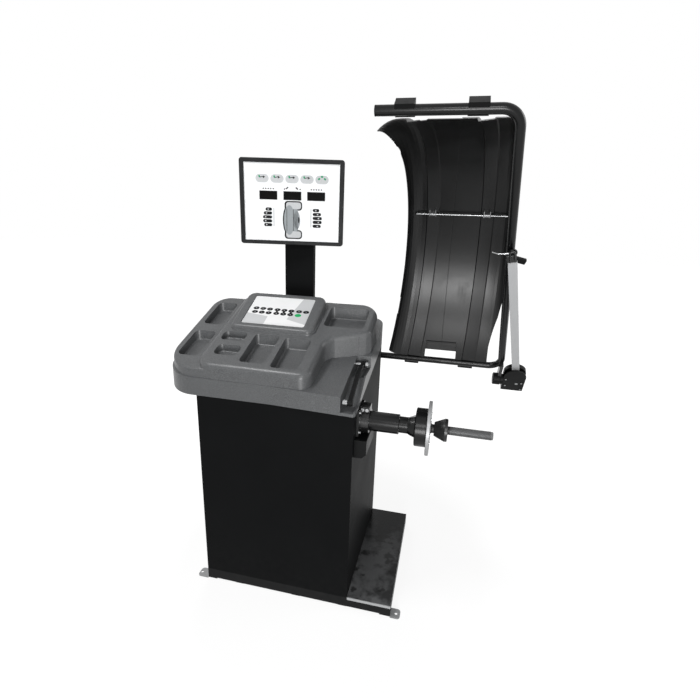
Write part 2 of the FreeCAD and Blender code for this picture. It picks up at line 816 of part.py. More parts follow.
def build_drive():
    plates = []
    front_plate = [("-285", "base_high+16"), ("-125", "base_high+16"), ("-125", "930"), ("-285", "930")]
    rear_plate = [
        ("-285", "base_high+16"),
        ("-125", "base_high+16"),
        ("-125", "930"),
        ("-40", "1030"),
        ("-40", "1084"),
        ("-90", "1084"),
        ("-90", "1020"),
        ("-200", "940"),
        ("-285", "930"),
    ]
    house = ("spin_back", "spin_up", "housing_rad+0.05")
    plates.append(
        plate("PedestalFront", "YZ_Plane", front_plate, "12", (CAB_RIGHT + "-36.5", "0", "0"), holes=[house]),
    )
    rear_holes = [house, ("spin_back", "motor_up", "26"), ("rod_back", "rod_up", "rod_rad+3")]
    plates.append(plate("PedestalRear", "YZ_Plane", rear_plate, "12", ("-60", "0", "0"), holes=rear_holes))
    plates.append(box("PedestalFoot", ("-75", "-300", "base_high"), (CAB_RIGHT + "+65.5", "190", "16")))
    plates.append(box("PedestalShelf", ("-48", "-250", "768"), (CAB_RIGHT + "+11.5", "90", "12")))
    node("pedestal", joined("Pedestal", *plates))

    cells = []
    for i, along in enumerate(("0", CAB_RIGHT + "-91.5")):
        cells.append(
            rod(f"SensorCell{i}", (along, "spin_back", "780"), "13", "spin_up-780-housing_rad+1", "Z"),
        )
    round_tube = rod("SensorSaddle", ("-30", "spin_back", "spin_up"), "housing_rad+0.05", CAB_RIGHT + "+20")
    node("vibration_sensors", less("VibrationSensors", joined("SensorCells", *cells), round_tube))

    ring = less(
        "ClampRing",
        rod("ClampOuter", (CAB_RIGHT, "spin_back", "spin_up"), "housing_rad+10", "46"),
        rod("ClampInner", (CAB_RIGHT + "-1", "spin_back", "spin_up"), "housing_rad", "48"),
    )
    lugs = box("ClampLugs", (CAB_RIGHT, "spin_back-26", "spin_up+housing_rad+4"), ("46", "52", "24"))
    split = box("ClampSplit", (CAB_RIGHT + "-1", "spin_back-2", "spin_up+10"), ("60", "4", "90"))
    foot = box("ClampFoot", (CAB_RIGHT, "spin_back-62", "spin_up-50"), ("10", "124", "114"))
    hole = rod("ClampHole", (CAB_RIGHT + "-1", "spin_back", "spin_up"), "housing_rad+0.05", "60")
    drills = [
        rod(f"ClampDrill{i}", (CAB_RIGHT + along, "spin_back-40", "spin_up+housing_rad+17"), "4.3", "80", "Y")
        for i, along in enumerate(("+18", "+36"))
    ]
    body = less("ClampBody", joined("ClampRaw", ring, lugs, foot), hole, split, *drills)
    node("spindle_clamp", body)
    screws = []
    for i, along in enumerate(("+18", "+36")):
        shank_at = (CAB_RIGHT + along, "spin_back-30", "spin_up+housing_rad+17")
        shank = rod(f"ClampShank{i}", shank_at, "4", "60", "Y")
        front_head = rod(
            f"ClampHead{i}",
            (CAB_RIGHT + along, "spin_back-34", "spin_up+housing_rad+17"),
            "7",
            "8",
            "Y",
        )
        nut = rod(
            f"ClampNut{i}",
            (CAB_RIGHT + along, "spin_back+26", "spin_up+housing_rad+17"),
            "7",
            "7",
            "Y",
        )
        screws += [shank, front_head, nut]
    for i, (dy, dz) in enumerate(((-50, -36), (50, -36), (-50, 52), (50, 52))):
        at = (CAB_RIGHT + "+10", f"spin_back+({dy})", f"spin_up+({dz})")
        screws.append(rod(f"ClampFootBolt{i}", at, "6.5", "7"))
    node("clamp_bolts", joined("ClampBolts", *screws))

    cover_points = [
        ("0", "733"),
        ("34", "733"),
        ("50", "749"),
        ("50", "spin_up-housing_rad-12"),
        ("0", "spin_up-housing_rad-12"),
    ]
    cover = plate("UnderCover", "XZ_Plane", cover_points, "176", (CAB_RIGHT, "spin_back+88", "0"))
    beyond = num("cab_len") - num("base_len") / 2 + 20
    node("side_cover", rounded("SideCover", cover, 3.0, lambda e: e.CenterOfMass.x > beyond))

    front_motor = "housing_start+12"
    can = rod("MotorCan", (front_motor, "spin_back", "motor_up"), "motor_rad", "motor_len")
    node(
        "drive_motor",
        rounded("DriveMotor", can, 4.0, lambda e: e.CenterOfMass.x > num("housing_start") + 30),
    )
    small = [
        ("pulley_mid-pulley_wide/2", "0"),
        ("pulley_mid-pulley_wide/2", "pulley_small+2"),
        ("pulley_mid-pulley_wide/2+2", "pulley_small+2"),
        ("pulley_mid-pulley_wide/2+2.5", "pulley_small"),
        ("pulley_mid+pulley_wide/2-2.5", "pulley_small"),
        ("pulley_mid+pulley_wide/2-2", "pulley_small+2"),
        ("pulley_mid+pulley_wide/2", "pulley_small+2"),
        ("pulley_mid+pulley_wide/2", "9"),
        ("housing_start+11.7", "9"),
        ("housing_start+11.7", "0"),
    ]
    node("motor_pulley", turned("MotorPulley", small, ("0", "spin_back", "motor_up")))

    node("drive_belt", shaped("DriveBelt", belt_shape()))

    board = box("PowerBoardSheet", (LEFT + "+8", "-150", "520"), ("1.6", "220", "170"))
    posts = [
        rod(f"BoardPost{i}", (LEFT + "+cab_sheet", y, z), "4", "6", "X")
        for i, (y, z) in enumerate(((-140, 530), (60, 530), (60, 680), (-140, 680)))
    ]
    sink = box("HeatSink", (LEFT + "+9.6", "-120", "600"), ("36", "90", "60"))
    node("power_board", joined("PowerBoard", board, sink, *posts))
    core = box("TransformerCore", ("-330", "-60", "base_high"), ("110", "90", "95"))
    coil = box("TransformerCoil", ("-310", "-80", "base_high+16"), ("70", "130", "62"))
    node("transformer", joined("Transformer", core, coil))
    fork = box("SensorFork", ("-128", "spin_back-12", "spin_up+44"), ("20", "24", "26"))
    gap = box("SensorGap", ("-121", "spin_back-20", "spin_up+40"), ("8", "40", "21"))
    arm = box("SensorArm", ("-108", "spin_back-12", "spin_up+60"), ("48", "24", "5"))
    node("encoder_sensor", joined("EncoderSensor", less("SensorJaws", fork, gap), arm))


def belt_shape():
    """A flat belt wrapped round both pulleys."""
    grow = num("belt_thick")
    width = num("pulley_wide") - 6.0
    rise = num("spin_up") - num("motor_up")
    shapes = []
    for extra in (0.1, grow):
        big = num("pulley_big") + extra
        small = num("pulley_small") + extra
        lean = math.asin((big - small) / rise)
        side = math.cos(lean)
        high = math.sin(lean)
        y0 = num("spin_back")
        z1 = num("spin_up")
        z0 = num("motor_up")
        x0 = num("pulley_mid") - width / 2

        def spot(z, radius, sign):
            return V(x0, y0 + sign * radius * side, z - radius * high)

        edges = [
            Part.LineSegment(spot(z0, small, 1), spot(z1, big, 1)).toShape(),
            Part.Arc(spot(z1, big, 1), V(x0, y0, z1 + big), spot(z1, big, -1)).toShape(),
            Part.LineSegment(spot(z1, big, -1), spot(z0, small, -1)).toShape(),
            Part.Arc(spot(z0, small, -1), V(x0, y0, z0 - small), spot(z0, small, 1)).toShape(),
        ]
        shapes.append(Part.Face(Part.Wire(edges)).extrude(V(width, 0, 0)))
    return shapes[1].cut(shapes[0])


# ------------------------------------------------------------ mains entry
def build_inlet():
    flange = box("InletFlange", ("126", "base_deep/2", "156"), ("35", "3", "55"))
    body = box("InletBody", ("131", "base_deep/2-28", "161"), ("25", "29", "45"))
    well = box("InletWell", ("134", "base_deep/2-20", "168"), ("19", "30", "24"))
    pins = [
        box(f"InletPin{i}", (x, "base_deep/2-20", z), ("2", "14", "5"))
        for i, (x, z) in enumerate((("137", "172"), ("142.5", "181"), ("148", "172")))
    ]
    node(
        "power_inlet",
        joined("PowerInlet", less("InletShell", joined("InletRaw", flange, body), well), *pins),
    )
    rim = box("SwitchRim", ("177", "base_deep/2", "157"), ("28", "3", "53"))
    tub = box("SwitchTub", ("181", "base_deep/2-26", "161"), ("20", "28", "45"))
    well2 = box("SwitchWell", ("183.5", "base_deep/2-14", "164"), ("15", "30", "39"))
    node("switch_case", less("SwitchCase", joined("SwitchRaw", rim, tub), well2))
    key_points = [
        ("-18.4", "1"),
        ("-17", "6.5"),
        ("0", "2.6"),
        ("17", "3.2"),
        ("18.4", "-2"),
        ("3", "-9"),
        ("-3", "-9"),
    ]
    flipped = [(y, z) for z, y in key_points]
    key = plate("SwitchKey", "YZ_Plane", flipped, "14.4", ("183.8", "base_deep/2-1", "183.5"))
    pin = rod("SwitchPin", ("183.6", "base_deep/2-1", "183.5"), "2", "14.8")
    node("mains_switch", joined("MainsSwitch", key, pin))


# ------------------------------------------------------------ display
WINDOWS = ("-368", "-252.5", "-138.5")
WINDOW_LOW = "1755"


def turned_screen():
    """The display faces a little to the right; this turns it about its own middle and brings it forward."""
    middle = V(num("screen_mid"), num("post_front") - num("screen_deep"), 0)
    turn = FreeCAD.Rotation(Z_AXIS, num("screen_turn"))
    return FreeCAD.Placement(middle - turn.multVec(middle) - V(0, num("screen_ahead"), 0), turn)


def screen_node(name, thing):
    """Registers a sub-part of the display, turned with the display."""
    thing.Placement = turned_screen().multiply(thing.Placement)
    return node(name, thing)


def build_display():
    front = "post_front-screen_deep"
    x0 = "screen_mid-screen_wide/2"
    outer = box("BezelOuter", (x0, front, "screen_low"), ("screen_wide", "14", "screen_high"))
    outer = rounded("BezelSoft", outer, 14.0, straight_along(Y_AXIS))
    outer = rounded(
        "BezelEdge",
        outer,
        3.0,
        lambda e: e.CenterOfMass.y < num("post_front") - num("screen_deep") + 0.5,
    )
    opening = box(
        "BezelOpening",
        (x0 + "+screen_rim", front + "-1", "screen_low+screen_rim-4"),
        ("screen_wide-2*screen_rim", "20", "screen_high-2*screen_rim+6"),
    )
    screen_node("display_bezel", less("DisplayBezel", outer, opening))
    panel = box(
        "PanelSheet",
        (x0 + "+screen_rim", front + "+4", "screen_low+screen_rim-4"),
        ("screen_wide-2*screen_rim", "3", "screen_high-2*screen_rim+6"),
    )
    windows = [
        box(f"WindowCut{i}", (x, front + "+3", WINDOW_LOW), ("80", "2.2", "34")) for i, x in enumerate(WINDOWS)
    ]
    screen_node("display_panel", less("DisplayPanel", panel, *windows))
    panes = [
        box(f"Pane{i}", (x, front + "+4", WINDOW_LOW), ("80", "1.2", "34")) for i, x in enumerate(WINDOWS)
    ]
    screen_node("digit_windows", joined("DigitWindows", *panes))

    case = box(
        "CaseOuter",
        (x0 + "+6", front + "+14", "screen_low+6"),
        ("screen_wide-12", "screen_deep-14", "screen_high-12"),
    )
    case = rounded("CaseSoft", case, 10.0, straight_along(Y_AXIS))
    case = rounded("CaseBack", case, 5.0, lambda e: e.CenterOfMass.y > num("post_front") - 0.5)
    room = box(
        "CaseRoom",
        (x0 + "+9", front + "+13", "screen_low+9"),
        ("screen_wide-18", "screen_deep-16", "screen_high-18"),
    )
    screen_node("display_case", less("DisplayCase", case, room))
    board = box(
        "DisplayBoardSheet",
        (x0 + "+40", front + "+22", "screen_low+50"),
        ("screen_wide-80", "1.6", "screen_high-100"),
    )
    pegs = [
        rod(f"DisplayPeg{i}", (x0 + dx, front + "+7", "screen_low" + dz), "4", "15.2", "Y")
        for i, (dx, dz) in enumerate(
            (
                ("+60", "+70"),
                ("+screen_wide-60", "+70"),
                ("+60", "+screen_high-70"),
                ("+screen_wide-60", "+screen_high-70"),
            )
        )
    ]
    screen_node("display_board", joined("DisplayBoard", board, *pegs))

    left = "post_mid-post_wide/2"
    tall = "post_top-post_low"
    beam = box("PostOuter", (left, "post_front", "post_low"), ("post_wide", "post_deep", tall))
    ahead = num("post_front") + 5
    beam = rounded("PostSoft", beam, 5.0, lambda e: straight_along(Z_AXIS)(e) and e.CenterOfMass.y < ahead)
    groove = box(
        "PostGroove",
        (left + "+post_sheet", "post_front+post_sheet", "post_low-1"),
        ("post_wide-2*post_sheet", "post_deep", tall + "+2"),
    )
    brackets = [less("PostBeam", beam, groove)]
    for i, level in enumerate(("post_low+20", "post_low+240")):
        web = box(
            f"BracketWeb{i}",
            (left + "+post_sheet", "post_front+post_sheet", level),
            ("post_wide-2*post_sheet", "post_deep-post_sheet", "4"),
        )
        pad = box(
            f"BracketPad{i}",
            (left + "+post_sheet", "post_front+post_deep-3", level),
            ("post_wide-2*post_sheet", "3", "60"),
        )
        brackets += [web, pad]
    edge = num("post_mid") - num("post_wide") / 2
    wedge = block(edge + 8, 200, 1600, edge + num("post_wide") - 8, num("post_front"), 1770)
    far = block(-900, -900, 1000, 500, num("post_front"), 2200)
    far.Placement = turned_screen()
    brackets.append(shaped("ScreenWedge", wedge.cut(far)))
    node("display_post", joined("DisplayPost", *brackets))


# ------------------------------------------------------------ wheel guard
HOOD = FreeCAD.Placement(
    V(0, num("hinge_back"), num("hinge_up")), FreeCAD.Rotation(X_AXIS, num("hood_lean"))
)


GUARD_TUBE = []


def bend_path(points, radius):
    """An open run of lines with its inner corners bent to a radius."""
    edges = []
    start = points[0]
    for i in range(1, len(points) - 1):
        here = points[i]
        back = points[i - 1] - here
        ahead = points[i + 1] - here
        back.normalize()
        ahead.normalize()
        half = back.getAngle(ahead) / 2
        reach = radius / math.tan(half)
        middle = back + ahead
        middle.normalize()
        dip = here + middle * (radius / math.sin(half) - radius)
        first = here + back * reach
        last = here + ahead * reach
        edges.append(Part.LineSegment(start, first).toShape())
        edges.append(Part.Arc(first, dip, last).toShape())
        start = last
    edges.append(Part.LineSegment(start, points[-1]).toShape())
    return Part.Wire(edges)


def tube_along(path, radius):
    first = path.Edges[0]
    along = first.tangentAt(first.FirstParameter)
    ring = Part.Wire(Part.makeCircle(radius, first.valueAt(first.FirstParameter), along))
    return path.makePipeShell([ring], True, False)


def shell_centre():
    """Height of the arc centre, its distance in front of the chord, and the arc radius."""
    chord = num("shell_top") - num("shell_low")
    sag = num("shell_sag")
    radius = (chord * chord / 4 + sag * sag) / (2 * sag)
    return (num("shell_top") + num("shell_low")) / 2, sag - radius, radius


def curl(start, side, length, angle, steps=6):
    """Points of a flange that leaves the sheet's face and curls towards the arc centre."""
    points = []
    for k in range(steps + 1):
        turn = angle * k / steps
        across = length * math.sin(turn) / angle
        drop = length * (1 - math.cos(turn)) / angle
        points.append((start + side * across, -drop))
    return points


def sheet_profile(t):
    """The sheet's outer face across its width, at a share t of its length: place and drop."""
    opening = 1.45 if t < 0.85 else 1.45 - 5.0 * (t - 0.85)
    left = curl(348.0, -1, 105.0, opening)
    right = curl(770.0, 1, 75.0, 1.2)
    ribs = []
    for start in (372.0, 655.0):
        ribs += [(start, 0.0), (start + 4, -9.0), (start + 64, -4.0), (start + 70, 0.0)]
    return left[::-1] + ribs + right


def sheet_ring(t, grow=0.0):
    """One closed section of the sheet, square to its length."""
    mid, ahead, radius = shell_centre()
    half = math.asin((num("shell_top") - num("shell_low")) / 2 / radius)
    angle = half * (2 * t - 1)
    depth = ahead + radius * math.cos(angle)
    share = (radius * math.sin(angle) + mid - num("shell_low")) / (num("shell_top") - num("shell_low"))
    profile = sheet_profile(share)
    thick = num("shell_sheet") + grow
    outer = []
    inner = []
    for i, (x, drop) in enumerate(profile):
        ahead_x, ahead_r = profile[min(i + 1, len(profile) - 1)]
        back_x, back_r = profile[max(i - 1, 0)]
        run = math.hypot(ahead_x - back_x, ahead_r - back_r)
        out_x = -(ahead_r - back_r) / run
        out_r = (ahead_x - back_x) / run
        outer.append((x + out_x * grow, drop + out_r * grow))
        inner.append((x - out_x * thick, drop - out_r * thick))
    ring = []
    for x, drop in outer + inner[::-1]:
        along = x + 0.11 * depth - 0.21 * (x - 372.0) * share
        reach = radius + drop
        ring.append(V(along, ahead + reach * math.cos(angle), mid + reach * math.sin(angle)))
    return Part.makePolygon(ring + [ring[0]])


def swept_sheet(grow):
    """The guard sheet, lofted through sections along its arc; grow makes a slightly thicker one."""
    rings = [sheet_ring(k / 12, grow) for k in range(13)]
    return Part.makeLoft(rings, True, False)


def ring_sector(low, high, x0, x1, z0, z1):
    """The space between two radii about the sheet's arc centre, inside a range along and up."""
    mid, ahead, _ = shell_centre()
    outer = Part.makeCylinder(high, x1 - x0, V(x0, ahead, mid), X_AXIS)
    if low > 0:
        outer = outer.cut(Part.makeCylinder(low, x1 - x0 + 2, V(x0 - 1, ahead, mid), X_AXIS))
    return outer.common(block(x0 - 1, -60, z0, x1 + 1, 600, z1))


def corner_trim():
    """What is cut away so the sheet's top corner follows the bend of the tube."""
    bend = num("hood_bend")
    slope = (num("hood_low_right") - num("hood_top_right")) / num("hood_high")
    z = num("hood_high") - bend
    x = num("hood_low_right") - slope * z - bend * math.hypot(1, slope)
    corner = block(x, -300, z, x + 300, 500, z + 300)
    keep = Part.makeCylinder(bend - num("hood_tube") - 7.0, 800.0, V(x, -300, z), Y_AXIS)
    return corner.cut(keep)


def build_hood():
    low_right = num("hood_low_right")
    top_right = num("hood_top_right")
    tall = num("hood_high")
    path = bend_path(
        [V(-34, 0, 0), V(low_right, 0, 0), V(top_right, 0, tall), V(num("hood_top_left"), 0, tall)],
        num("hood_bend"),
    )
    outside = tube_along(path, num("hood_tube"))
    GUARD_TUBE.append(tube_along(path, num("hood_tube") + 0.1))
    inside = tube_along(path, num("hood_tube") - num("hood_wall"))
    node("hood_frame", shaped("HoodFrame", outside.cut(inside), HOOD))

    caps = []
    for x, z, sign in ((-34.0, 0.0, 1), (num("hood_top_left"), tall, 1)):
        plug = Part.makeCylinder(num("hood_tube") - num("hood_wall") - 0.1, 18.0, V(x, 0, z), V(sign, 0, 0))
        disc = Part.makeCylinder(num("hood_tube"), 4.0, V(x - 4.0, 0, z), V(1, 0, 0))
        caps.append(plug.fuse(disc).removeSplitter())
    node("hood_end_caps", shaped("HoodEndCaps", Part.makeCompound(caps), HOOD))

    mid, ahead, radius = shell_centre()
    seat = swept_sheet(0.25)
    sheet = swept_sheet(0.0)
    edge = [(783, -100), (783, 30), (786, 60), (797, 95), (819, 160), (845, 300), (1200, 300), (1200, -100)]
    low_corner = solid_from([V(x, -400, z) for x, z in edge], V(0, 1200, 0))
    leg = [(low_right - 24.0 - 0.106 * z, z) for z in (-100.0, 1400.0)]
    beside_leg = [V(leg[0][0], 28, -100), V(leg[1][0], 28, 1400), V(1200, 28, 1400), V(1200, 28, -100)]
    sheet = sheet.cut(low_corner).cut(solid_from(beside_leg, V(0, -400, 0))).cut(corner_trim())
    sheet = sheet.cut(block(412, -120, 1222, 549, 260, tall + 60))
    sheet = sheet.cut(block(464, -120, -60, 622, 200, 58))
    for z in (1040.0, 880.0, 640.0, 420.0, 210.0):
        across = math.sqrt((radius - 56.0) ** 2 - (z - mid) ** 2)
        tooth = Part.makeCylinder(radius - 56.0, 60.0, V(262, ahead, mid), X_AXIS)
        sheet = sheet.cut(
            tooth.common(block(250, ahead + across - 40, z - 35, 360, ahead + across + 40, z + 35)),
        )
    tub = ring_sector(radius - 3.0, radius + 18.0, 460.0, 626.0, 26.0, 66.0)
    room = ring_sector(0.0, radius + 15.0, 463.0, 623.0, 10.0, 63.0)
    sheet = sheet.fuse(tub).cut(room.common(block(400, -60, 0, 700, 600, 63)))
    sheet = max(sheet.Solids, key=lambda s: s.Volume)
    node("hood_shell", shaped("HoodShell", sheet, HOOD))

    clips = []
    for x0, x1, z, side in (
        (336, 400, tall, -1),
        (564, 628, tall, -1),
        (358, 432, 0.0, 1),
        (640, 714, 0.0, 1),
    ):
        cap = block(x0, -14, z - 25, x1, 30, z - 4) if side > 0 else block(x0, -14, z + 4, x1, 30, z + 25)
        back = block(x0, 0, z - 6, x1, 30, z + 22) if side > 0 else block(x0, 0, z - 22, x1, 30, z + 6)
        saddle = cap.fuse(back).removeSplitter()
        bore = Part.makeCylinder(num("hood_tube") + 0.1, 200.0, V(x0 - 60, 0, z), X_AXIS)
        saddle = saddle.cut(bore).cut(seat)
        clips.append(max(saddle.Solids, key=lambda s: s.Volume))
    node("hood_clips", shaped("HoodClips", Part.makeCompound(clips), HOOD))

    rod_angle = math.radians(-1.0)
    reach = radius - num("shell_sheet") - 13.6
    spot = V(0, ahead + reach * math.cos(rod_angle), mid + reach * math.sin(rod_angle))
    bar = Part.makeCylinder(4.0, 430.0, V(368, spot.y, spot.z), X_AXIS)
    ties = [bar]
    for x in (447.0, 700.0):
        ties.append(rod_tie(x, spot, rod_angle, seat))
    node("shell_brace", shaped("ShellBrace", Part.makeCompound(ties), HOOD))


def rod_tie(x, spot, angle, seat):
    """A bent clip that holds the rod against the sheet, made square to the sheet."""
    foot = block(x - 16, spot.y - 2, spot.z - 7, x + 16, spot.y + 14, spot.z + 7)
    ears = [
        block(x + dx - 2, spot.y - 7, spot.z - 7, x + dx + 2, spot.y + 8, spot.z + 26) for dx in (-14, 14)
    ]
    solid = foot.fuse(ears)
    solid.rotate(spot, X_AXIS, math.degrees(angle))
    bar = Part.makeCylinder(4.05, 60.0, V(x - 30, spot.y, spot.z), X_AXIS)
    solid = solid.cut(seat).cut(bar)
    return max(solid.Solids, key=lambda s: s.Volume)


def build_hinge():
    rear = "base_deep/2"
    sleeve = rod("SleeveOuter", ("-20", "hinge_back", "hinge_up"), "hood_tube+8", "240")
    plate_rear = box("HingePlate", ("-30", rear, "hinge_up-85"), ("262", "8", "170"))
    webs = [
        box(f"HingeWeb{i}", (x, rear + "+8", "hinge_up-30"), ("12", "hinge_back-base_deep/2-8", "60"))
        for i, x in enumerate(("-14", "198"))
    ]
    bore = rod("SleeveBore", ("-40", "hinge_back", "hinge_up"), "hood_tube+0.1", "300")
    node("hinge_bracket", less("HingeBracket", joined("HingeRaw", sleeve, plate_rear, *webs), bore))
    collar = less(
        "CollarRing",
        rod("CollarOuter", ("-32", "hinge_back", "hinge_up"), "hood_tube+8", "11.5"),
        rod("CollarBore", ("-40", "hinge_back", "hinge_up"), "hood_tube+0.05", "40"),
    )
    node("hinge_collar", collar)


# ------------------------------------------------------------ width gauge, carried by the guard
def hood_point(x, y, z):
    return HOOD.multVec(V(x, y, z))


def build_width_gauge():
    x0 = num("arm_pivot_along")
    z0 = num("arm_pivot_up")
    front = -num("arm_front")
    stem = block(846, -46, z0, 862, 0, 60).cut(GUARD_TUBE[0])
    stem = max(stem.Solids, key=lambda s: s.Volume)
    can = Part.makeCylinder(31.0, 38.0, V(824, front, z0 + 10), X_AXIS)
    can = can.makeFillet(4.0, [e for e in can.Edges if not straight_along(X_AXIS)(e)])
    can = can.fuse(Part.makeCylinder(28.0, 14.0, V(861, front, z0 + 10), X_AXIS)).removeSplitter()
    stem = stem.cut(can)
    stem = max(stem.Solids, key=lambda s: s.Volume)
    node("gauge_stem", shaped("GaugeStem", stem, HOOD))
    node("gauge_encoder", shaped("GaugeEncoder", can, HOOD))

    across = 929.0
    crown = z0 + 56.0
    cheeks = []
    for y, deep in ((front - 17.0, 6.0), (front + 9.0, 22.0)):
        disc = Part.makeCylinder(54.0, deep, V(across, y, crown), Y_AXIS)
        flat = block(across - 54, y, z0 - 58, across + 54, y + deep, crown)
        cheeks.append(disc.fuse(flat).removeSplitter())
    cheeks.append(block(across - 54, front - 12, z0 - 58, across - 42, front + 10, z0 + 20))
    cheeks.append(block(across - 54, front - 12, z0 - 58, across + 54, front + 10, z0 - 46))
    frame = cheeks[0].fuse(cheeks[1:]).removeSplitter()
    pin_hole = Part.makeCylinder(8.0, 80.0, V(x0, front - 40, z0), Y_AXIS)
    frame = frame.cut(pin_hole)
    node("gauge_cheeks", shaped("GaugeCheeks", frame, HOOD))
    screws = []
    for dx, dz in ((-57, 34), (-54, -18), (23, 12), (26, -44)):
        screws.append(Part.makeCylinder(4.5, 3.0, V(x0 + dx, front - 20.0, z0 + dz), Y_AXIS))
    screws.append(Part.makeCylinder(8.0, 44.0, V(x0, front - 16.0, z0), Y_AXIS))
    node("gauge_pins", shaped("GaugePins", Part.makeCompound(screws), HOOD))

    tilt = FreeCAD.Placement(V(x0, front, z0), FreeCAD.Rotation(Y_AXIS, -num("arm_tilt")))
    arm_place = HOOD.multiply(tilt)
    wide = num("arm_wide")
    thick = num("arm_thick")
    reach = num("arm_reach")
    bar = block(-wide / 2, -thick / 2, 0, wide / 2, thick / 2, reach)
    eye = Part.makeCylinder(wide / 2 + 6, thick, V(0, -thick / 2, 0), Y_AXIS)
    hole = Part.makeCylinder(8.05, 40.0, V(0, -20, 0), Y_AXIS)
    node("gauge_arm", shaped("GaugeArm", bar.fuse(eye).removeSplitter().cut(hole), arm_place))
    head = block(-22, -13, reach - 5, 16, 13, reach + 30)
    head = head.makeFillet(3.0, head.Edges)
    slot = block(-wide / 2 - 5, -thick / 2, reach - 10, wide / 2, thick / 2, reach)
    ear = Part.makeCylinder(16.0, 5.0, V(3, -3, reach + 36), Y_AXIS)
    hook_path = bend_path(
        [V(-9, -17, reach + 2), V(-9, -17, reach + 52), V(9, -17, reach + 52), V(9, -17, reach + 14)],
        8.5,
    )
    hook = tube_along(hook_path, 4.5)
    node("gauge_head", shaped("GaugeHead", head.fuse([ear, hook]).cut(slot), arm_place))
    ferrule = Part.makeCylinder(5.0, 18.0, V(-30, 0, reach + 34), X_AXIS)
    ferrule = ferrule.cut(head).cut(ear)
    ferrule = max(ferrule.Solids, key=lambda s: s.Volume)
    wire_path = bend_path([V(-30, 0, reach + 34), V(-52, 0, reach + 36), V(-74, 0, reach + 48)], 14.0)
    wire = tube_along(wire_path, 2.2)
    node("gauge_feeler", shaped("GaugeFeeler", ferrule.fuse(wire).removeSplitter(), arm_place))
    grip = block(0, -8, -11, 40, 8, 11)
    grip = grip.makeFillet(3.0, [e for e in grip.Edges if e.CenterOfMass.x > 2])
    grip.rotate(V(0, 0, 0), Y_AXIS, 27)
    grip.translate(V(12, 0, reach + 2))
    grip = grip.cut(head).cut(block(-wide / 2, -20, 0, wide / 2, 20, reach))
    node("gauge_grip", shaped("GaugeGrip", max(grip.Solids, key=lambda s: s.Volume), arm_place))


# ------------------------------------------------------------ distance gauge, in the tray
def build_distance_gauge():
    line = ("0", "rod_back", "rod_up")
    node("distance_rod", rod("DistanceRod", ("-310", "rod_back", "rod_up"), "rod_rad", "544"))
    bush_front = less(
        "BushFront",
        rod("BushFrontOuter", ("174", "rod_back", "rod_up"), "10.9", "16"),
        rod("BushFrontBore", ("170", "rod_back", "rod_up"), "rod_rad+0.05", "30"),
    )
    bush_rear = less(
        "BushRear",
        rod("BushRearOuter", ("-60", "rod_back", "rod_up"), "rod_rad+2.9", "12"),
        rod("BushRearBore", ("-70", "rod_back", "rod_up"), "rod_rad+0.05", "30"),
    )
    node("rod_bushes", joined("RodBushes", bush_front, bush_rear))
    arm_points = [
        ("rod_back+2", "rod_up+9"),
        ("rod_back-60", "rod_up+10"),
        ("-194", "1056"),
        ("-206", "1050"),
        ("-320", "994"),
        ("-329", "977"),
        ("-206", "1032"),
        ("-190", "1040"),
        ("rod_back-60", "rod_up-8"),
        ("rod_back+2", "rod_up-9"),
    ]
    lever = plate("DistanceLever", "YZ_Plane", arm_points, "16", ("215", "0", "0"))
    boss = rod("DistanceBoss", ("213", "rod_back", "rod_up"), "14", "20")
    nose = rod("DistanceNose", ("215", "-325", "985"), "12", "20")
    raw = joined("DistanceArmRaw", lever, boss, nose)
    bore = rod("DistanceArmBore", ("200", "rod_back", "rod_up"), "rod_rad+0.05", "60")
    node("distance_arm", less("DistanceArm", raw, bore))
    tip = turned(
        "DistanceTipTurn",
        [("0", "0"), ("0", "9"), ("1.5", "11"), ("19", "11"), ("19", "8"), ("20", "8"), ("20", "0")],
        ("195", "-325", "985"),
    )
    node("distance_tip", tip)
    ring = less(
        "DistanceCollarRing",
        rod("DistanceCollarOuter", ("234", "rod_back", "rod_up"), "13", "9"),
        rod("DistanceCollarBore", ("230", "rod_back", "rod_up"), "4", "20"),
    )
    screw = rod("DistanceCollarScrew", ("234", "rod_back", "rod_up"), "4", "12")
    node("distance_collar", joined("DistanceCollar", ring, screw))


# ------------------------------------------------------------ build, check and write
build_chassis()
build_cabinet()
build_tray()
build_console()
build_spindle()
build_drive()
build_inlet()
build_display()
build_hood()
build_hinge()
build_width_gauge()
build_distance_gauge()
DOC.recompute()
for thing in DOC.Objects:
    state = " ".join(thing.State)
    if "Invalid" in state or "Error" in state:
        raise RuntimeError(f"{thing.Name} did not rebuild: {state}")
os.makedirs("parts", exist_ok=True)
for name, thing in NODES.items():
    if thing.Shape.isNull() or not thing.Shape.isValid() or not thing.Shape.Solids:
        raise RuntimeError(f"{name} has no sound solid")
    thing.Shape.exportStep(f"parts/{name}.step")
print(len(NODES), "sub-parts written")
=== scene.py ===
"""Workshop wheel balancer: finishes, printed faces, shaft thread, floor, lamps and camera."""
import bpy
import json
import math
from mathutils import Matrix, Vector


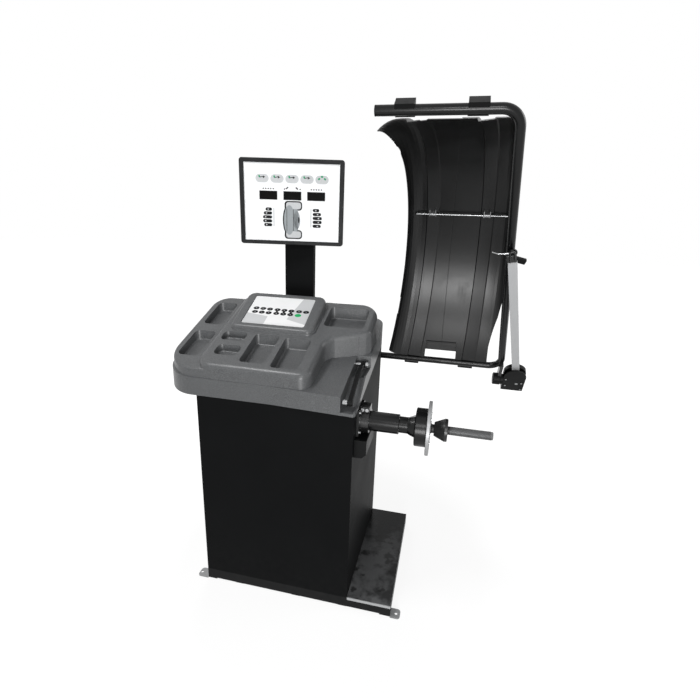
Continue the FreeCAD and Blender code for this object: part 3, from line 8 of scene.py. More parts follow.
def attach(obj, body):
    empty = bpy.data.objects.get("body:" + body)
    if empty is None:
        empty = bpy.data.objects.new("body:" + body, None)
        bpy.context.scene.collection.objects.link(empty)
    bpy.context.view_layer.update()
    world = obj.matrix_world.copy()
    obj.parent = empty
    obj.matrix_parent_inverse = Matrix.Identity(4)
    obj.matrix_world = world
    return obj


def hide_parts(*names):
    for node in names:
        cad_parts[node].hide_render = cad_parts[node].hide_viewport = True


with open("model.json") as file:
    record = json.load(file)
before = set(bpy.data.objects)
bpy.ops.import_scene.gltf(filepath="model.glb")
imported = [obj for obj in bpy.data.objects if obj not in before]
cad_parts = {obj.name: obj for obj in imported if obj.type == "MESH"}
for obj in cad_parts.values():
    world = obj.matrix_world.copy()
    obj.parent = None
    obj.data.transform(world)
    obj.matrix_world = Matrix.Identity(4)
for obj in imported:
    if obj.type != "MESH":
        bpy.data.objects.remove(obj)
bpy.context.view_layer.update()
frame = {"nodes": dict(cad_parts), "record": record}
NODES = frame["nodes"]
MM = 0.001


# ---------------------------------------------------------------- shader arithmetic
class Value:
    """One value in a node tree; arithmetic on it adds Math nodes."""

    def __init__(self, wiring, socket):
        self.wiring = wiring
        self.socket = socket

    def __add__(self, other):
        return self.wiring.math("ADD", self, other)

    def __sub__(self, other):
        return self.wiring.math("SUBTRACT", self, other)

    def __rsub__(self, other):
        return self.wiring.math("SUBTRACT", other, self)

    def __mul__(self, other):
        return self.wiring.math("MULTIPLY", self, other)

    def __truediv__(self, other):
        return self.wiring.math("DIVIDE", self, other)

    __radd__ = __add__
    __rmul__ = __mul__

    def above(self, edge, soft):
        """0 below an edge, 1 above it, over a soft width."""
        return self.wiring.math("MULTIPLY", self - edge, 1.0 / soft, clamp=True)


class Wiring:
    """A node tree, emptied and wired again."""

    def __init__(self, tree):
        self.tree = tree
        self.tree.nodes.clear()

    def node(self, kind, settings=None, inputs=None, output=0):
        """Any node: its settings first, then the values or links of its sockets."""
        made = self.tree.nodes.new(kind)
        for key, value in (settings or {}).items():
            setattr(made, key, value)
        for key, value in (inputs or {}).items():
            if isinstance(value, Value):
                self.tree.links.new(value.socket, made.inputs[key])
            else:
                made.inputs[key].default_value = value
        return Value(self, made.outputs[output])

    def math(self, operation, *terms, clamp=False):
        settings = {"operation": operation, "use_clamp": clamp}
        return self.node("ShaderNodeMath", settings, dict(enumerate(terms)))

    def end(self, kind, shader):
        """The output node, which closes the tree."""
        out = self.tree.nodes.new(kind)
        self.tree.links.new(shader.socket, out.inputs[0])


class Finish(Wiring):
    """A material put together from nodes, for one kind of surface."""

    def __init__(self, name):
        self.material = bpy.data.materials.new(name)
        self.material.use_nodes = True
        super().__init__(self.material.node_tree)
        self.place = self.node("ShaderNodeTexCoord", output="Object")

    def axis(self, letter):
        return self.node("ShaderNodeSeparateXYZ", None, {0: self.place}, letter)

    def stretched(self, x, y, z):
        settings = {"operation": "MULTIPLY"}
        return self.node("ShaderNodeVectorMath", settings, {0: self.place, 1: (x, y, z)})

    def noise(self, scale, detail=3.0, rough=0.55, vector=None):
        inputs = {"Vector": vector or self.place, "Scale": scale, "Detail": detail, "Roughness": rough}
        return self.node("ShaderNodeTexNoise", None, inputs)

    def mix(self, first, second, share):
        settings = {"data_type": "RGBA", "clamp_factor": True}
        return self.node("ShaderNodeMix", settings, {0: share, 6: first, 7: second}, 2)

    def bump(self, height, strength, distance):
        inputs = {"Strength": strength, "Distance": distance, "Height": height}
        return self.node("ShaderNodeBump", None, inputs)

    def set(self, **sockets):
        """The surface, with what varies over it on its sockets."""
        inputs = {name.replace("_", " "): value for name, value in sockets.items()}
        self.end("ShaderNodeOutputMaterial", self.node("ShaderNodeBsdfPrincipled", None, inputs))
        return self.material


def tone(value, tint=0.0):
    """A grey, with a touch of blue."""
    return (value, value * (1.0 + tint * 0.5), value * (1.0 + tint), 1.0)


# ---------------------------------------------------------------- finishes
CREASE_X = 0.545
FILM_LEFT = -0.358
FILM_WIDTH = 0.304
FILM_BACK = 0.120
FILM_DEPTH = 0.186
FIELD_EDGE = 0.004


def opaque(colour, share=1.0):
    """A colour, darkened to a share of itself, with its alpha."""
    return tuple(c * share for c in colour) + (1.0,)


def powder_coat(name, level, rough=0.42, dust=0.0, gloss=0.1):
    """Satin powder coat: orange peel, uneven sheen, light rubs and floor dust."""
    f = Finish(name)
    cloud = f.noise(5.0, 4.0)
    peel = f.noise(620.0, 2.0)
    rub = f.noise(9.0, 6.0, 0.7, f.stretched(1.0, 1.0, 3.5)).above(0.63, 0.12)
    base = f.mix(tone(level * 0.8, 0.1), tone(level * 1.3, 0.1), cloud)
    base = f.mix(base, tone(level * 2.6, 0.05), rub * 0.35)
    if dust:
        low = (1.0 - f.axis("Z").above(0.06, 0.3)) * f.noise(30.0, 5.0).above(0.35, 0.4)
        base = f.mix(base, (0.075, 0.072, 0.068, 1.0), low * dust)
    sheen = cloud * 0.16 + rub * 0.12 + (rough - 0.08)
    relief = f.bump(peel, 0.10, 0.0004)
    return f.set(Base_Color=base, Roughness=sheen, Specular_IOR_Level=gloss, Normal=relief)


def speckled_moulding(name, level):
    """Grey moulding with a fine speckle and a slight grain."""
    f = Finish(name)
    grains = f.noise(390.0, 3.0, 0.8)
    specks = grains.above(0.55, 0.07)
    darks = 1.0 - grains.above(0.43, 0.06)
    cloud = f.noise(7.0, 4.0)
    base = f.mix(tone(level * 0.90, 0.07), tone(level * 1.10, 0.07), cloud)
    base = f.mix(base, tone(level * 2.1, 0.05), specks * 0.55)
    base = f.mix(base, tone(level * 0.35, 0.05), darks * 0.6)
    wear = f.noise(14.0, 6.0, 0.75).above(0.66, 0.1)
    base = f.mix(base, tone(level * 1.5, 0.03), wear * 0.2)
    sheen = cloud * 0.10 + 0.31
    relief = f.bump(grains, 0.22, 0.0003)
    return f.set(Base_Color=base, Roughness=sheen, Specular_IOR_Level=0.42, Normal=relief)


def gloss_enamel(name, level):
    """Glossy enamel on a plate that is stood on: cloudy smudges, most at the front, fine scratches, and
    the colour lighter towards the front.
    """
    f = Finish(name)
    smudge = f.noise(8.5, 4.0, 0.55)
    clouds = smudge.above(0.45, 0.14)
    stain = 1.0 - f.noise(14.0, 3.0, 0.5).above(0.36, 0.05)
    front = 1.0 - f.axis("Y").above(-0.28, 0.55)
    scratch = f.noise(60.0, 3.0, 0.6, f.stretched(0.5, 6.0, 1.0)).above(0.66, 0.05)
    # Towards the front the colour is lighter, both on the smudges and between them.
    front_and_smudges = clouds * (front * 0.80 + 0.05) + front * 0.15
    base = f.mix(tone(level, 0.1), tone(0.11, 0.04), front_and_smudges)
    base = f.mix(base, tone(0.14), scratch * 0.15)
    base = f.mix(base, tone(level), stain * 0.8)
    sheen = front_and_smudges * 0.22 + 0.17
    relief = f.bump(smudge, 0.06, 0.002)
    return f.set(Base_Color=base, Roughness=sheen, Specular_IOR_Level=0.12, Normal=relief)


def guard_sheet(name):
    """Black formed sheet: semi-gloss, long faint drag marks and dull smears."""
    f = Finish(name)
    smear = f.noise(4.5, 6.0, 0.6)
    patch = smear.above(0.52, 0.18)
    drag = f.noise(70.0, 3.0, 0.6, f.stretched(1.0, 0.06, 0.06)).above(0.6, 0.1)
    crease = 1.0 - f.math("ABSOLUTE", f.axis("X") - CREASE_X).above(0.0008, 0.0012)
    base = f.mix(tone(0.003, 0.1), tone(0.006, 0.1), patch)
    base = f.mix(base, tone(0.04, 0.05), drag * 0.06)
    sheen = patch * 0.08 + drag * 0.04 + 0.34
    grain = f.noise(420.0, 2.0)
    relief = f.bump(grain * 0.05 - crease * 1.2, 0.8, 0.0004)
    return f.set(Base_Color=base, Roughness=sheen, Specular_IOR_Level=0.36, Normal=relief)


def tube_paint(name):
    """Glossy black tube with small chips and a fine peel."""
    f = Finish(name)
    peel = f.noise(260.0, 2.0)
    chips = f.noise(55.0, 5.0, 0.7).above(0.70, 0.03)
    cloud = f.noise(11.0, 3.0)
    base = f.mix(tone(0.0022, 0.1), tone(0.005, 0.1), cloud)
    base = f.mix(base, tone(0.09), chips * 0.2)
    sheen = cloud * 0.08 + 0.22
    relief = f.bump(peel, 0.015, 0.0003)
    return f.set(Base_Color=base, Roughness=sheen, Specular_IOR_Level=0.25, Normal=relief)


def moulded_black(name, level=0.004, rough=0.42):
    """Black moulding with a leather-fine grain and thumbed, shinier spots."""
    f = Finish(name)
    grain = f.noise(700.0, 2.0, 0.6)
    thumb = f.noise(18.0, 4.0).above(0.45, 0.3)
    base = f.mix(tone(level * 0.85, 0.1), tone(level * 1.35, 0.1), thumb)
    sheen = thumb * -0.1 + (rough + 0.04)
    relief = f.bump(grain, 0.25, 0.0003)
    return f.set(Base_Color=base, Roughness=sheen, Specular_IOR_Level=0.1, Normal=relief)


def turned_steel(name, level=0.36, rough=0.24, rings=900.0, darker_below_x=None):
    """Machined steel: lathe rings, oil film and specks of handling wear."""
    f = Finish(name)
    lathe = f.noise(rings, 2.0, 0.6, f.stretched(1.0, 0.02, 0.02))
    oil = f.noise(22.0, 5.0)
    base = f.mix(tone(level * 0.72, 0.02), tone(level * 1.08, 0.03), lathe)
    base = f.mix(base, tone(level * 0.5), oil.above(0.55, 0.25) * 0.45)
    sheen = oil * 0.14 + lathe * 0.1 + (rough - 0.08)
    # Below the given X the colour is darker. On the spindle shaft this darkens the plain part between
    # flange and cone and dims its highlight there.
    if darker_below_x:
        near = 1.0 - f.axis("X").above(darker_below_x, 0.004)
        base = f.mix(base, tone(level * 0.25), near)
    return f.set(Base_Color=base, Metallic=1.0, Roughness=sheen, Normal=f.bump(lathe, 0.12, 0.0003))


def brushed_light(name, level=0.62):
    """Light brushed bar: long brush lines and small pits."""
    f = Finish(name)
    brush = f.noise(500.0, 3.0, 0.65, f.stretched(1.0, 0.03, 0.03))
    pits = f.noise(150.0, 4.0, 0.7).above(0.68, 0.04)
    base = f.mix(tone(level * 0.9, 0.03), tone(level * 1.1, 0.03), brush)
    base = f.mix(base, tone(0.2), pits * 0.4)
    relief = f.bump(brush, 0.1, 0.0002)
    return f.set(Base_Color=base, Metallic=0.35, Roughness=brush * 0.14 + 0.36, Normal=relief)


def dark_steel(name, level=0.007, metal=0.1, rough=0.30):
    """Blackened steel with rubbed, slightly brighter places."""
    f = Finish(name)
    cloud = f.noise(16.0, 5.0, 0.6)
    rub = f.noise(40.0, 6.0, 0.75).above(0.62, 0.08)
    grain = f.noise(480.0, 2.0)
    base = f.mix(tone(level * 0.7, 0.05), tone(level * 1.5, 0.05), cloud)
    base = f.mix(base, tone(0.12, 0.02), rub * 0.2)
    sheen = cloud * 0.16 + (rough - 0.1)
    return f.set(Base_Color=base, Metallic=metal, Roughness=sheen, Normal=f.bump(grain, 0.08, 0.0003))


def cast_paint(name, colour, rough=0.5):
    """Painted casting or housing with a pebbled skin."""
    f = Finish(name)
    pebble = f.noise(210.0, 4.0, 0.6)
    cloud = f.noise(8.0, 4.0)
    base = f.mix(opaque(colour, 0.75), opaque(colour), cloud * 0.7 + pebble * 0.3)
    relief = f.bump(pebble, 0.3, 0.0006)
    return f.set(Base_Color=base, Roughness=cloud * 0.15 + (rough - 0.05), Normal=relief)


def bright_plastic(name, colour):
    """White moulded or printed sheet with a barely uneven sheen and light soiling."""
    f = Finish(name)
    cloud = f.noise(6.0, 4.0)
    soil = f.noise(26.0, 6.0, 0.7).above(0.62, 0.15)
    base = f.mix(opaque(colour, 0.96), opaque(colour), cloud)
    base = f.mix(base, opaque(colour, 0.85), soil * 0.2)
    grain = f.noise(800.0, 2.0)
    return f.set(Base_Color=base, Roughness=cloud * 0.1 + 0.33, Normal=f.bump(grain, 0.04, 0.0002))


def keypad_film(name):
    """White film with two pale grey fields printed on it."""
    f = Finish(name)
    across = (f.axis("X") - FILM_LEFT) / FILM_WIDTH
    down = (FILM_BACK - f.axis("Y")) / FILM_DEPTH
    left_side = 1.0 - (across + down * 0.02).above(0.375, FIELD_EDGE)
    left_top = (down - across * 0.22).above(0.62, FIELD_EDGE)
    right_side = (across + down * 0.164).above(0.80, FIELD_EDGE)
    right_foot = 1.0 - (down - across * 0.43).above(0.459, FIELD_EDGE)
    field = f.math("MAXIMUM", left_side * left_top, right_side * right_foot)
    cloud = f.noise(9.0, 3.0)
    base = f.mix(tone(0.76, 0.01), tone(0.81, 0.01), cloud)
    base = f.mix(base, tone(0.52, 0.03), field)
    grain = f.noise(900.0, 2.0)
    return f.set(Base_Color=base, Roughness=cloud * 0.12 + 0.36, Normal=f.bump(grain, 0.05, 0.0002))


def ink(name, colour, rough=0.4):
    """Printed ink with a slightly uneven cover."""
    f = Finish(name)
    cover = f.noise(160.0, 3.0, 0.6)
    thin = tuple(c * 1.25 + 0.006 for c in colour) + (1.0,)
    base = f.mix(opaque(colour), thin, cover)
    sheen = cover * 0.12 + (rough - 0.06)
    relief = f.bump(cover, 0.05, 0.0001)
    return f.set(Base_Color=base, Roughness=sheen, Specular_IOR_Level=0.1, Normal=relief)


def lens_black(name):
    """Dark window over the digits."""
    f = Finish(name)
    haze = f.noise(35.0, 4.0)
    base = f.mix(tone(0.002), tone(0.006), haze)
    sheen = haze * 0.08 + 0.16
    relief = f.bump(haze, 0.02, 0.0005)
    return f.set(Base_Color=base, Roughness=sheen, Specular_IOR_Level=0.05, Normal=relief)


def circuit_green(name):
    """Circuit board with paler tracks."""
    f = Finish(name)
    tracks = f.noise(90.0, 2.0, 0.3).above(0.5, 0.02)
    base = f.mix((0.010, 0.075, 0.030, 1.0), (0.03, 0.16, 0.07, 1.0), tracks)
    return f.set(Base_Color=base, Roughness=tracks * -0.1 + 0.5, Normal=f.bump(tracks, 0.3, 0.0002))


def belt_rubber(name):
    """Ribbed black rubber, dusty in the low places."""
    f = Finish(name)
    dust = f.noise(120.0, 4.0, 0.7)
    base = f.mix(tone(0.010), tone(0.045), dust)
    return f.set(Base_Color=base, Roughness=dust * 0.15 + 0.65, Normal=f.bump(dust, 0.4, 0.0005))


def make_finishes():
    return {
        "black_paint": powder_coat("cabinet powder coat", 0.0050, 0.54, 0.03, 0.03),
        "chassis_black": powder_coat("chassis coat", 0.0055, 0.46, 0.05, 0.10),
        "gloss_black": gloss_enamel("footplate enamel", 0.006),
        "light_trim": brushed_light("bare edge", 0.40),
        "tray_plastic": speckled_moulding("speckled tray moulding", 0.084),
        "white_plastic": bright_plastic("white display face", (0.80, 0.81, 0.82)),
        "membrane": keypad_film("keypad film"),
        "window_black": lens_black("digit lens"),
        "guard_plastic": guard_sheet("guard sheet"),
        "guard_tube": tube_paint("guard tube paint"),
        "black_plastic": moulded_black("black moulding"),
        "bare_steel": turned_steel("turned steel"),
        "black_steel": dark_steel("blackened steel"),
        "zinc": turned_steel("zinc plate", 0.34, 0.30, 300.0),
        "cast_grey": cast_paint("grey casting paint", (0.05, 0.05, 0.053)),
        "aluminium": brushed_light("brushed arm", 0.50),
        "rubber": belt_rubber("belt rubber"),
        "board_green": circuit_green("circuit board"),
        "brass": turned_steel("brass cell", 0.42, 0.32, 500.0),
        "motor_paint": cast_paint("motor paint", (0.13, 0.15, 0.18), 0.4),
    }


FINISHES = make_finishes()
BEZEL = moulded_black("display rim moulding", 0.014, 0.42)
OILED = dark_steel("oiled cone steel", 0.007, 0.2, 0.38)
PLATE = brushed_light("turned flange plate", 0.34)
EAR = brushed_light("plated ear", 0.27)
CLIP = moulded_black("clip moulding", 0.0035, 0.40)
BARREL = tube_paint("spindle barrel enamel")
OWN_FINISH = {
    "display_bezel": BEZEL,
    "display_case": BEZEL,
    "centring_cone": OILED,
    "flange_plate": PLATE,
    "floor_ears": EAR,
    "hood_clips": CLIP,
    "gauge_cheeks": CLIP,
    "spindle_housing": BARREL,
    "hub": BARREL,
}


def dress_nodes():
    """Every CAD node gets the finish of its material slot."""
    for part in frame["record"]["subparts"]:
        thing = NODES[part["node"]]
        finish = OWN_FINISH.get(part["node"], FINISHES[part["material_slot"]])
        thing.data.materials.clear()
        thing.data.materials.append(finish)


# ---------------------------------------------------------------- modelling helpers
def clear_choice():
    bpy.ops.object.select_all(action="DESELECT")


def settle(thing, place):
    """Puts a finished piece's place, turn and size into its mesh."""
    clear_choice()
    thing.matrix_world = place @ thing.matrix_world
    thing.select_set(True)
    bpy.context.view_layer.objects.active = thing
    bpy.ops.object.transform_apply(location=True, rotation=True, scale=True)
    return thing


def joined(things):
    """Several meshes made one."""
    clear_choice()
    for thing in things:
        thing.select_set(True)
    bpy.context.view_layer.objects.active = things[0]
    bpy.ops.object.join()
    return bpy.context.object


def soften(thing, width):
    """A bevel on every sharp edge, applied."""
    bevel = thing.modifiers.new("soft", "BEVEL")
    bevel.width = width
    bevel.segments = 2
    bevel.limit_method = "ANGLE"
    bevel.angle_limit = math.radians(40)
    bpy.context.view_layer.objects.active = thing
    bpy.ops.object.modifier_apply(modifier=bevel.name)


# ---------------------------------------------------------------- printed marks, in mm
INK = 0.5
OVERPRINT = 0.15


def to_size(size):
    """The primitive just added, brought to a size in mm."""
    mark = bpy.context.object
    mark.scale = Vector(size) * MM
    bpy.ops.object.transform_apply(location=False, rotation=False, scale=True)
    return mark


def printed_round(size, sides=32):
    """A thin oval or triangle of ink in the X-Y plane."""
    clear_choice()
    bpy.ops.mesh.primitive_cylinder_add(vertices=sides, radius=0.5, depth=1.0)
    mark = to_size(size)
    soften(mark, size[2] * MM * 0.3)
    return mark


def printed_bar(size, corner):
    """A thin bar of ink in the X-Y plane, its upright edges rounded."""
    clear_choice()
    bpy.ops.mesh.primitive_cube_add(size=1.0)
    mark = to_size(size)
    bpy.ops.object.mode_set(mode="EDIT")
    bpy.ops.mesh.select_mode(type="EDGE")
    bpy.ops.mesh.select_all(action="DESELECT")
    bpy.ops.object.mode_set(mode="OBJECT")
    for edge in mark.data.edges:
        first, last = (mark.data.vertices[i].co for i in edge.vertices)
        edge.select = abs(first.z - last.z) > 1e-6
    bpy.ops.object.mode_set(mode="EDIT")
    bpy.ops.mesh.bevel(offset=corner * MM, segments=6, affect="EDGES")
    bpy.ops.object.mode_set(mode="OBJECT")
    return mark


def stamped(mark, spots, height=0.0):
    """Copies of one mark, each with its own mesh, at spots of X, Y and a turn."""
    copies = []
    for x, y, turn in spots:
        copy = mark.copy()
        copy.data = mark.data.copy()
        bpy.context.scene.collection.objects.link(copy)
        spot = Matrix.Translation(Vector((x, y, height)) * MM) @ Matrix.Rotation(turn, 4, "Z")
        copies.append(settle(copy, spot))
    bpy.data.meshes.remove(mark.data)
    return copies


def gather(name, things, finish, sheet):
    """Joins printed marks into one piece and lays it on its sheet."""
    piece = settle(joined(things), sheet)
    piece.name = name
    piece.data.materials.clear()
    piece.data.materials.append(finish)
    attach(piece, "machine")


# ---------------------------------------------------------------- display face
SCREEN_TURN = math.radians(11.2)
SCREEN_MIDDLE = Vector((-215.5, 226.0, 0.0)) * MM
SCREEN_FACE = Vector((0.0, 4.0, 0.0)) * MM
WHEEL_X = 2.7
WHEEL_Y = 1660.3
BAR_MIDDLE = 1672.0
BAR_STEP = 18.15
BAR_INNER = 98.5
WINDOW_Y = 1772.0
WINDOWS = (-112.5, 3.0, 117.0)
DOT_STEP = 12.0
PILL_STEP = 71.3
PILL_Y = 1847.3
PILLS = [1.4 + PILL_STEP * i for i in range(-2, 3)]


def screen_sheet():
    """X across the display, Y up, Z out of its face."""
    upright = Matrix.Rotation(math.radians(90), 4, "X")
    turned = Matrix.Rotation(SCREEN_TURN, 4, "Z")
    return Matrix.Translation(SCREEN_MIDDLE) @ turned @ Matrix.Translation(SCREEN_FACE) @ upright


def bar_end(row):
    """How far out the bar of a row reaches: the ends follow the wheel's curve."""
    return 143.4 - 2.2 * (row - 2.45) ** 2


def bar_marks():
    """Five bars each side of the wheel, and a lamp on each."""
    bars = []
    bulbs = []
    for row in range(5):
        y = BAR_MIDDLE + BAR_STEP * (2 - row)
        middle = (BAR_INNER + bar_end(row)) / 2
        pair = [(WHEEL_X + side * middle, y, 0.0) for side in (-1, 1)]
        bars += stamped(printed_bar((bar_end(row) - BAR_INNER, 14.6, INK), 7.2), pair)
        for side, inset in ((-1, 13.0), (1, 16.5)):
            bulbs.append((WHEEL_X + side * (bar_end(row) - inset), y, 0.0))
    return bars, stamped(printed_round((6.6, 6.6, 0.9)), bulbs, OVERPRINT)


def dot_marks():
    """Two rows of five dots, and between them two arrows with a dot each."""
    dots = [(-136.3 + DOT_STEP * i, 1801.7, 0.0) for i in range(5)]
    dots += [(93.5 + DOT_STEP * i, 1802.4, 0.0) for i in range(5)]
    dots += [(-34.6, 1801.8, 0.0), (40.1, 1801.8, 0.0)]
    arrows = [(-22.5, 1806.5, 0.7), (24.5, 1806.0, -0.7)]
    marks = stamped(printed_round((6.4, 6.4, INK), 20), dots)
    return marks + stamped(printed_bar((14.0, 6.0, INK), 2.4), arrows)


def window_frames():
    """Four black edges round each digit window."""
    level = [(x, WINDOW_Y + side * 18.3, 0.0) for x in WINDOWS for side in (-1, 1)]
    upright = [(x + side * 41.4, WINDOW_Y, 0.0) for x in WINDOWS for side in (-1, 1)]
    marks = stamped(printed_bar((86.0, 3.4, INK), 1.6), level)
    return marks + stamped(printed_bar((3.4, 38.0, INK), 1.6), upright)


def pill_marks():
    """The small car part in each pill but the last, in black and green."""
    tyres = [(x - 13.0, PILL_Y + 8.3, 0.3) for x in PILLS[:4]]
    wedges = [(x + 8.0, PILL_Y + 5.9, 0.5) for x in PILLS[:4]]
    rods = [(x - 1.0, PILL_Y + 6.7, 0.25) for x in PILLS[:4]]
    green = stamped(printed_round((8.0, 12.0, 0.9), 24), tyres, OVERPRINT)
    black = stamped(printed_round((15.0, 13.0, 0.9), 3), wedges, OVERPRINT)
    black += stamped(printed_bar((22.0, 3.0, 0.9), 1.3), rods, OVERPRINT)
    spread = ((-14.0, 3.7), (0.0, 13.7), (14.0, 3.7))
    leaves = [(PILLS[4] + x, PILL_Y + y, x * -0.04) for x, y in spread]
    green += stamped(printed_bar((11.0, 8.0, 0.9), 2.4), leaves, OVERPRINT)
    return black, green


def wheel_marks():
    """The sectioned wheel that shows where the weights go."""
    rims = ((7.5, 1727.0, 0.0), (7.5, 1593.5, 0.0))
    black = stamped(printed_bar((85.0, 43.0, INK), 15.0), rims)
    bores = [(x + 1.0, y, turn) for x, y, turn in rims]
    pale = stamped(printed_bar((72.0, 31.0, 0.6), 11.0), bores, OVERPRINT)
    black += stamped(printed_round((62.0, 150.0, 0.56), 48), [(-13.0, WHEEL_Y, 0.0)])
    grey = stamped(printed_round((52.0, 138.0, 0.9), 48), [(-12.0, WHEEL_Y, 0.0)], 0.2)
    grey += stamped(printed_bar((50.0, 104.0, 1.0), 10.0), [(5.0, WHEEL_Y, 0.0)], 0.2)
    grey += stamped(printed_round((32.0, 84.0, 1.0), 40), [(24.0, WHEEL_Y, 0.0)], 0.2)
    black += stamped(printed_bar((2.2, 106.0, 1.0), 0.9), [(-24.0, WHEEL_Y, 0.0)], 0.5)
    black += stamped(printed_bar((2.2, 100.0, 1.2), 0.9), [(7.5, WHEEL_Y, 0.0)], 0.5)
    black += stamped(printed_round((7.0, 30.0, 1.2), 28), [(34.0, WHEEL_Y + 1.7, 0.0)], 0.5)
    return black, grey, pale


def display_marks():
    bars, bulbs = bar_marks()
    pill_black, green = pill_marks()
    wheel_black, grey, pale = wheel_marks()
    black = bars + dot_marks() + window_frames() + pill_black + wheel_black
    pale += bulbs + stamped(printed_bar((63.0, 37.5, INK), 18.5), [(x, PILL_Y, 0.0) for x in PILLS])
    grey += stamped(printed_bar((2.6, 85.0, INK), 1.2), [(-87.0, 1671.5, 0.0), (92.6, 1671.5, 0.0)])
    sheet = screen_sheet()
    gather("display_print_pale", pale, ink("pale print", (0.44, 0.45, 0.46)), sheet)
    gather("display_print_grey", grey, ink("grey print", (0.25, 0.27, 0.28)), sheet)
    gather("display_print_black", black, ink("black print", (0.003, 0.003, 0.004)), sheet)
    gather("display_print_green", green, ink("green print", (0.02, 0.24, 0.11)), sheet)


# ---------------------------------------------------------------- keypad
KEY_SLOPE = math.atan(0.53)
FILM_FRONT = Vector((0.0, -86.0, 1190.1))
FIRST_KEY = -323.2
KEY_STEP = 34.4
GROUP_GAP = 3.5
LOW_SHIFT = 2.7
KEY_LIFT = 0.2
SYMBOL_LIFT = 0.5


def keypad_sheet():
    """X across the keypad, Y up its slope, Z out of the film; Y starts at the film's front line."""
    return Matrix.Translation(FILM_FRONT * MM) @ Matrix.Rotation(KEY_SLOPE, 4, "X")


def up_slope(back):
    """Distance up the film of a place that is this far back."""
    return (back - FILM_FRONT.y) / math.cos(KEY_SLOPE)


def top_key(i, turn=0.0):
    """A key of the upper row: the keys stand in threes, with a wider gap after each three."""
    return (FIRST_KEY + KEY_STEP * i + GROUP_GAP * (i // 3), up_slope(37.0 - i * 0.6), turn)


def low_key(i, turn=0.0):
    """A key of the lower row, a little to the right of the one above."""
    return (top_key(i)[0] + LOW_SHIFT, up_slope(12.5 - i * 0.4), turn)


def keypad_marks():
    keys = [top_key(i) for i in range(8)] + [low_key(i) for i in range(6)]
    links = [(top_key(i)[0] + LOW_SHIFT / 2, up_slope(23.6), 0.0) for i in (3, 4, 5)]
    arrows = [top_key(i) for i in (3, 4, 5)] + [low_key(i, math.pi) for i in (3, 4, 5)]
    dashes = [top_key(i, 0.3 * i) for i in (0, 1, 2, 6, 7)]
    dots = [low_key(i) for i in (0, 1, 2)]
    black = stamped(printed_round((29.0, 20.5, 0.9), 40), keys, KEY_LIFT)
    black += stamped(printed_bar((10.0, 16.0, 0.8), 2.0), links, KEY_LIFT)
    white = stamped(printed_round((6.0, 5.0, 0.9), 3), arrows, SYMBOL_LIFT)
    white += stamped(printed_bar((8.0, 1.5, 0.8), 0.6), dashes, SYMBOL_LIFT)
    white += stamped(printed_round((3.6, 3.6, 0.8), 20), dots, SYMBOL_LIFT)
    start = stamped(printed_round((31.0, 21.5, 1.0), 40), [(-107.0, up_slope(9.0), 0.0)], KEY_LIFT)
    sheet = keypad_sheet()
    gather("keypad_keys", black, ink("key print", (0.007, 0.007, 0.008), 0.35), sheet)
    gather("keypad_symbols", white, ink("key symbols", (0.62, 0.63, 0.64)), sheet)
    start_green = ink("start key print", (0.01, 0.33, 0.10), 0.35)
    gather("keypad_start_key", start, start_green, sheet)


# ---------------------------------------------------------------- threaded shaft, in mm
SHAFT_LINE = Vector((0.0, -205.0, 865.0))
SHAFT_STEPS = [
    (-125, 15.0), (-124, 16.0), (-76, 16.0), (-74, 20.0), (541, 20.0),
    (543.5, 18.0), (607, 18.0), (608, 16.4), (780, 16.4), (782, 15.0),
]
THREAD_START = 609.0
THREAD_END = 780.0
ROOT = 16.3
CREST = 17.95
PITCH = 4.0
ROOT_WIDTH = PITCH * 0.92
CREST_WIDTH = PITCH * 0.18


def on_shaft(x):
    """A place on the shaft's middle line, in the scene's units."""
    return (SHAFT_LINE + Vector((x, 0, 0))) * MM


def point_outwards():
    bpy.ops.mesh.select_all(action="SELECT")
    bpy.ops.mesh.normals_make_consistent(inside=False)
    bpy.ops.object.mode_set(mode="OBJECT")


def grown_bar(stations):
    """A round bar along X: one ring grown from station to station, each a place and a radius."""
    clear_choice()
    start, radius = stations[0]
    across = (0, math.radians(90), 0)
    bpy.ops.mesh.primitive_circle_add(
        vertices=64, radius=radius * MM, fill_type="NGON", location=on_shaft(start), rotation=across
    )
    bar = bpy.context.object
    bpy.ops.object.transform_apply(location=True, rotation=True, scale=True)
    bpy.ops.object.mode_set(mode="EDIT")
    bpy.ops.mesh.select_all(action="SELECT")
    for (x0, r0), (x1, r1) in zip(stations, stations[1:]):
        bpy.ops.mesh.extrude_region_move(TRANSFORM_OT_translate={"value": ((x1 - x0) * MM, 0, 0)})
        bpy.ops.transform.resize(value=(1, r1 / r0, r1 / r0), center_override=on_shaft(x1))
    point_outwards()
    return bar


def thread_tooth():
    """The tooth's outline: a plane stood on edge, its outer side drawn in to the crest's width."""
    clear_choice()
    middle = (0, (ROOT + CREST) / 2 * MM, 0)
    bpy.ops.mesh.primitive_plane_add(size=1.0, location=middle, rotation=(0, math.radians(-90), 0))
    tooth = bpy.context.object
    tooth.scale = (ROOT_WIDTH * MM, (CREST - ROOT) * MM, 1.0)
    bpy.ops.object.transform_apply(location=True, rotation=True, scale=True)
    for point in tooth.data.vertices:
        point.select = point.co.y > middle[1]
    for side in tooth.data.edges:
        side.select = all(tooth.data.vertices[i].select for i in side.vertices)
    for face in tooth.data.polygons:
        face.select = False
    bpy.ops.object.mode_set(mode="EDIT")
    bpy.ops.transform.resize(value=(1, 1, CREST_WIDTH / ROOT_WIDTH), center_override=(0, CREST * MM, 0))
    bpy.ops.mesh.select_all(action="SELECT")
    bpy.ops.mesh.delete(type="ONLY_FACE")
    bpy.ops.object.mode_set(mode="OBJECT")
    return tooth


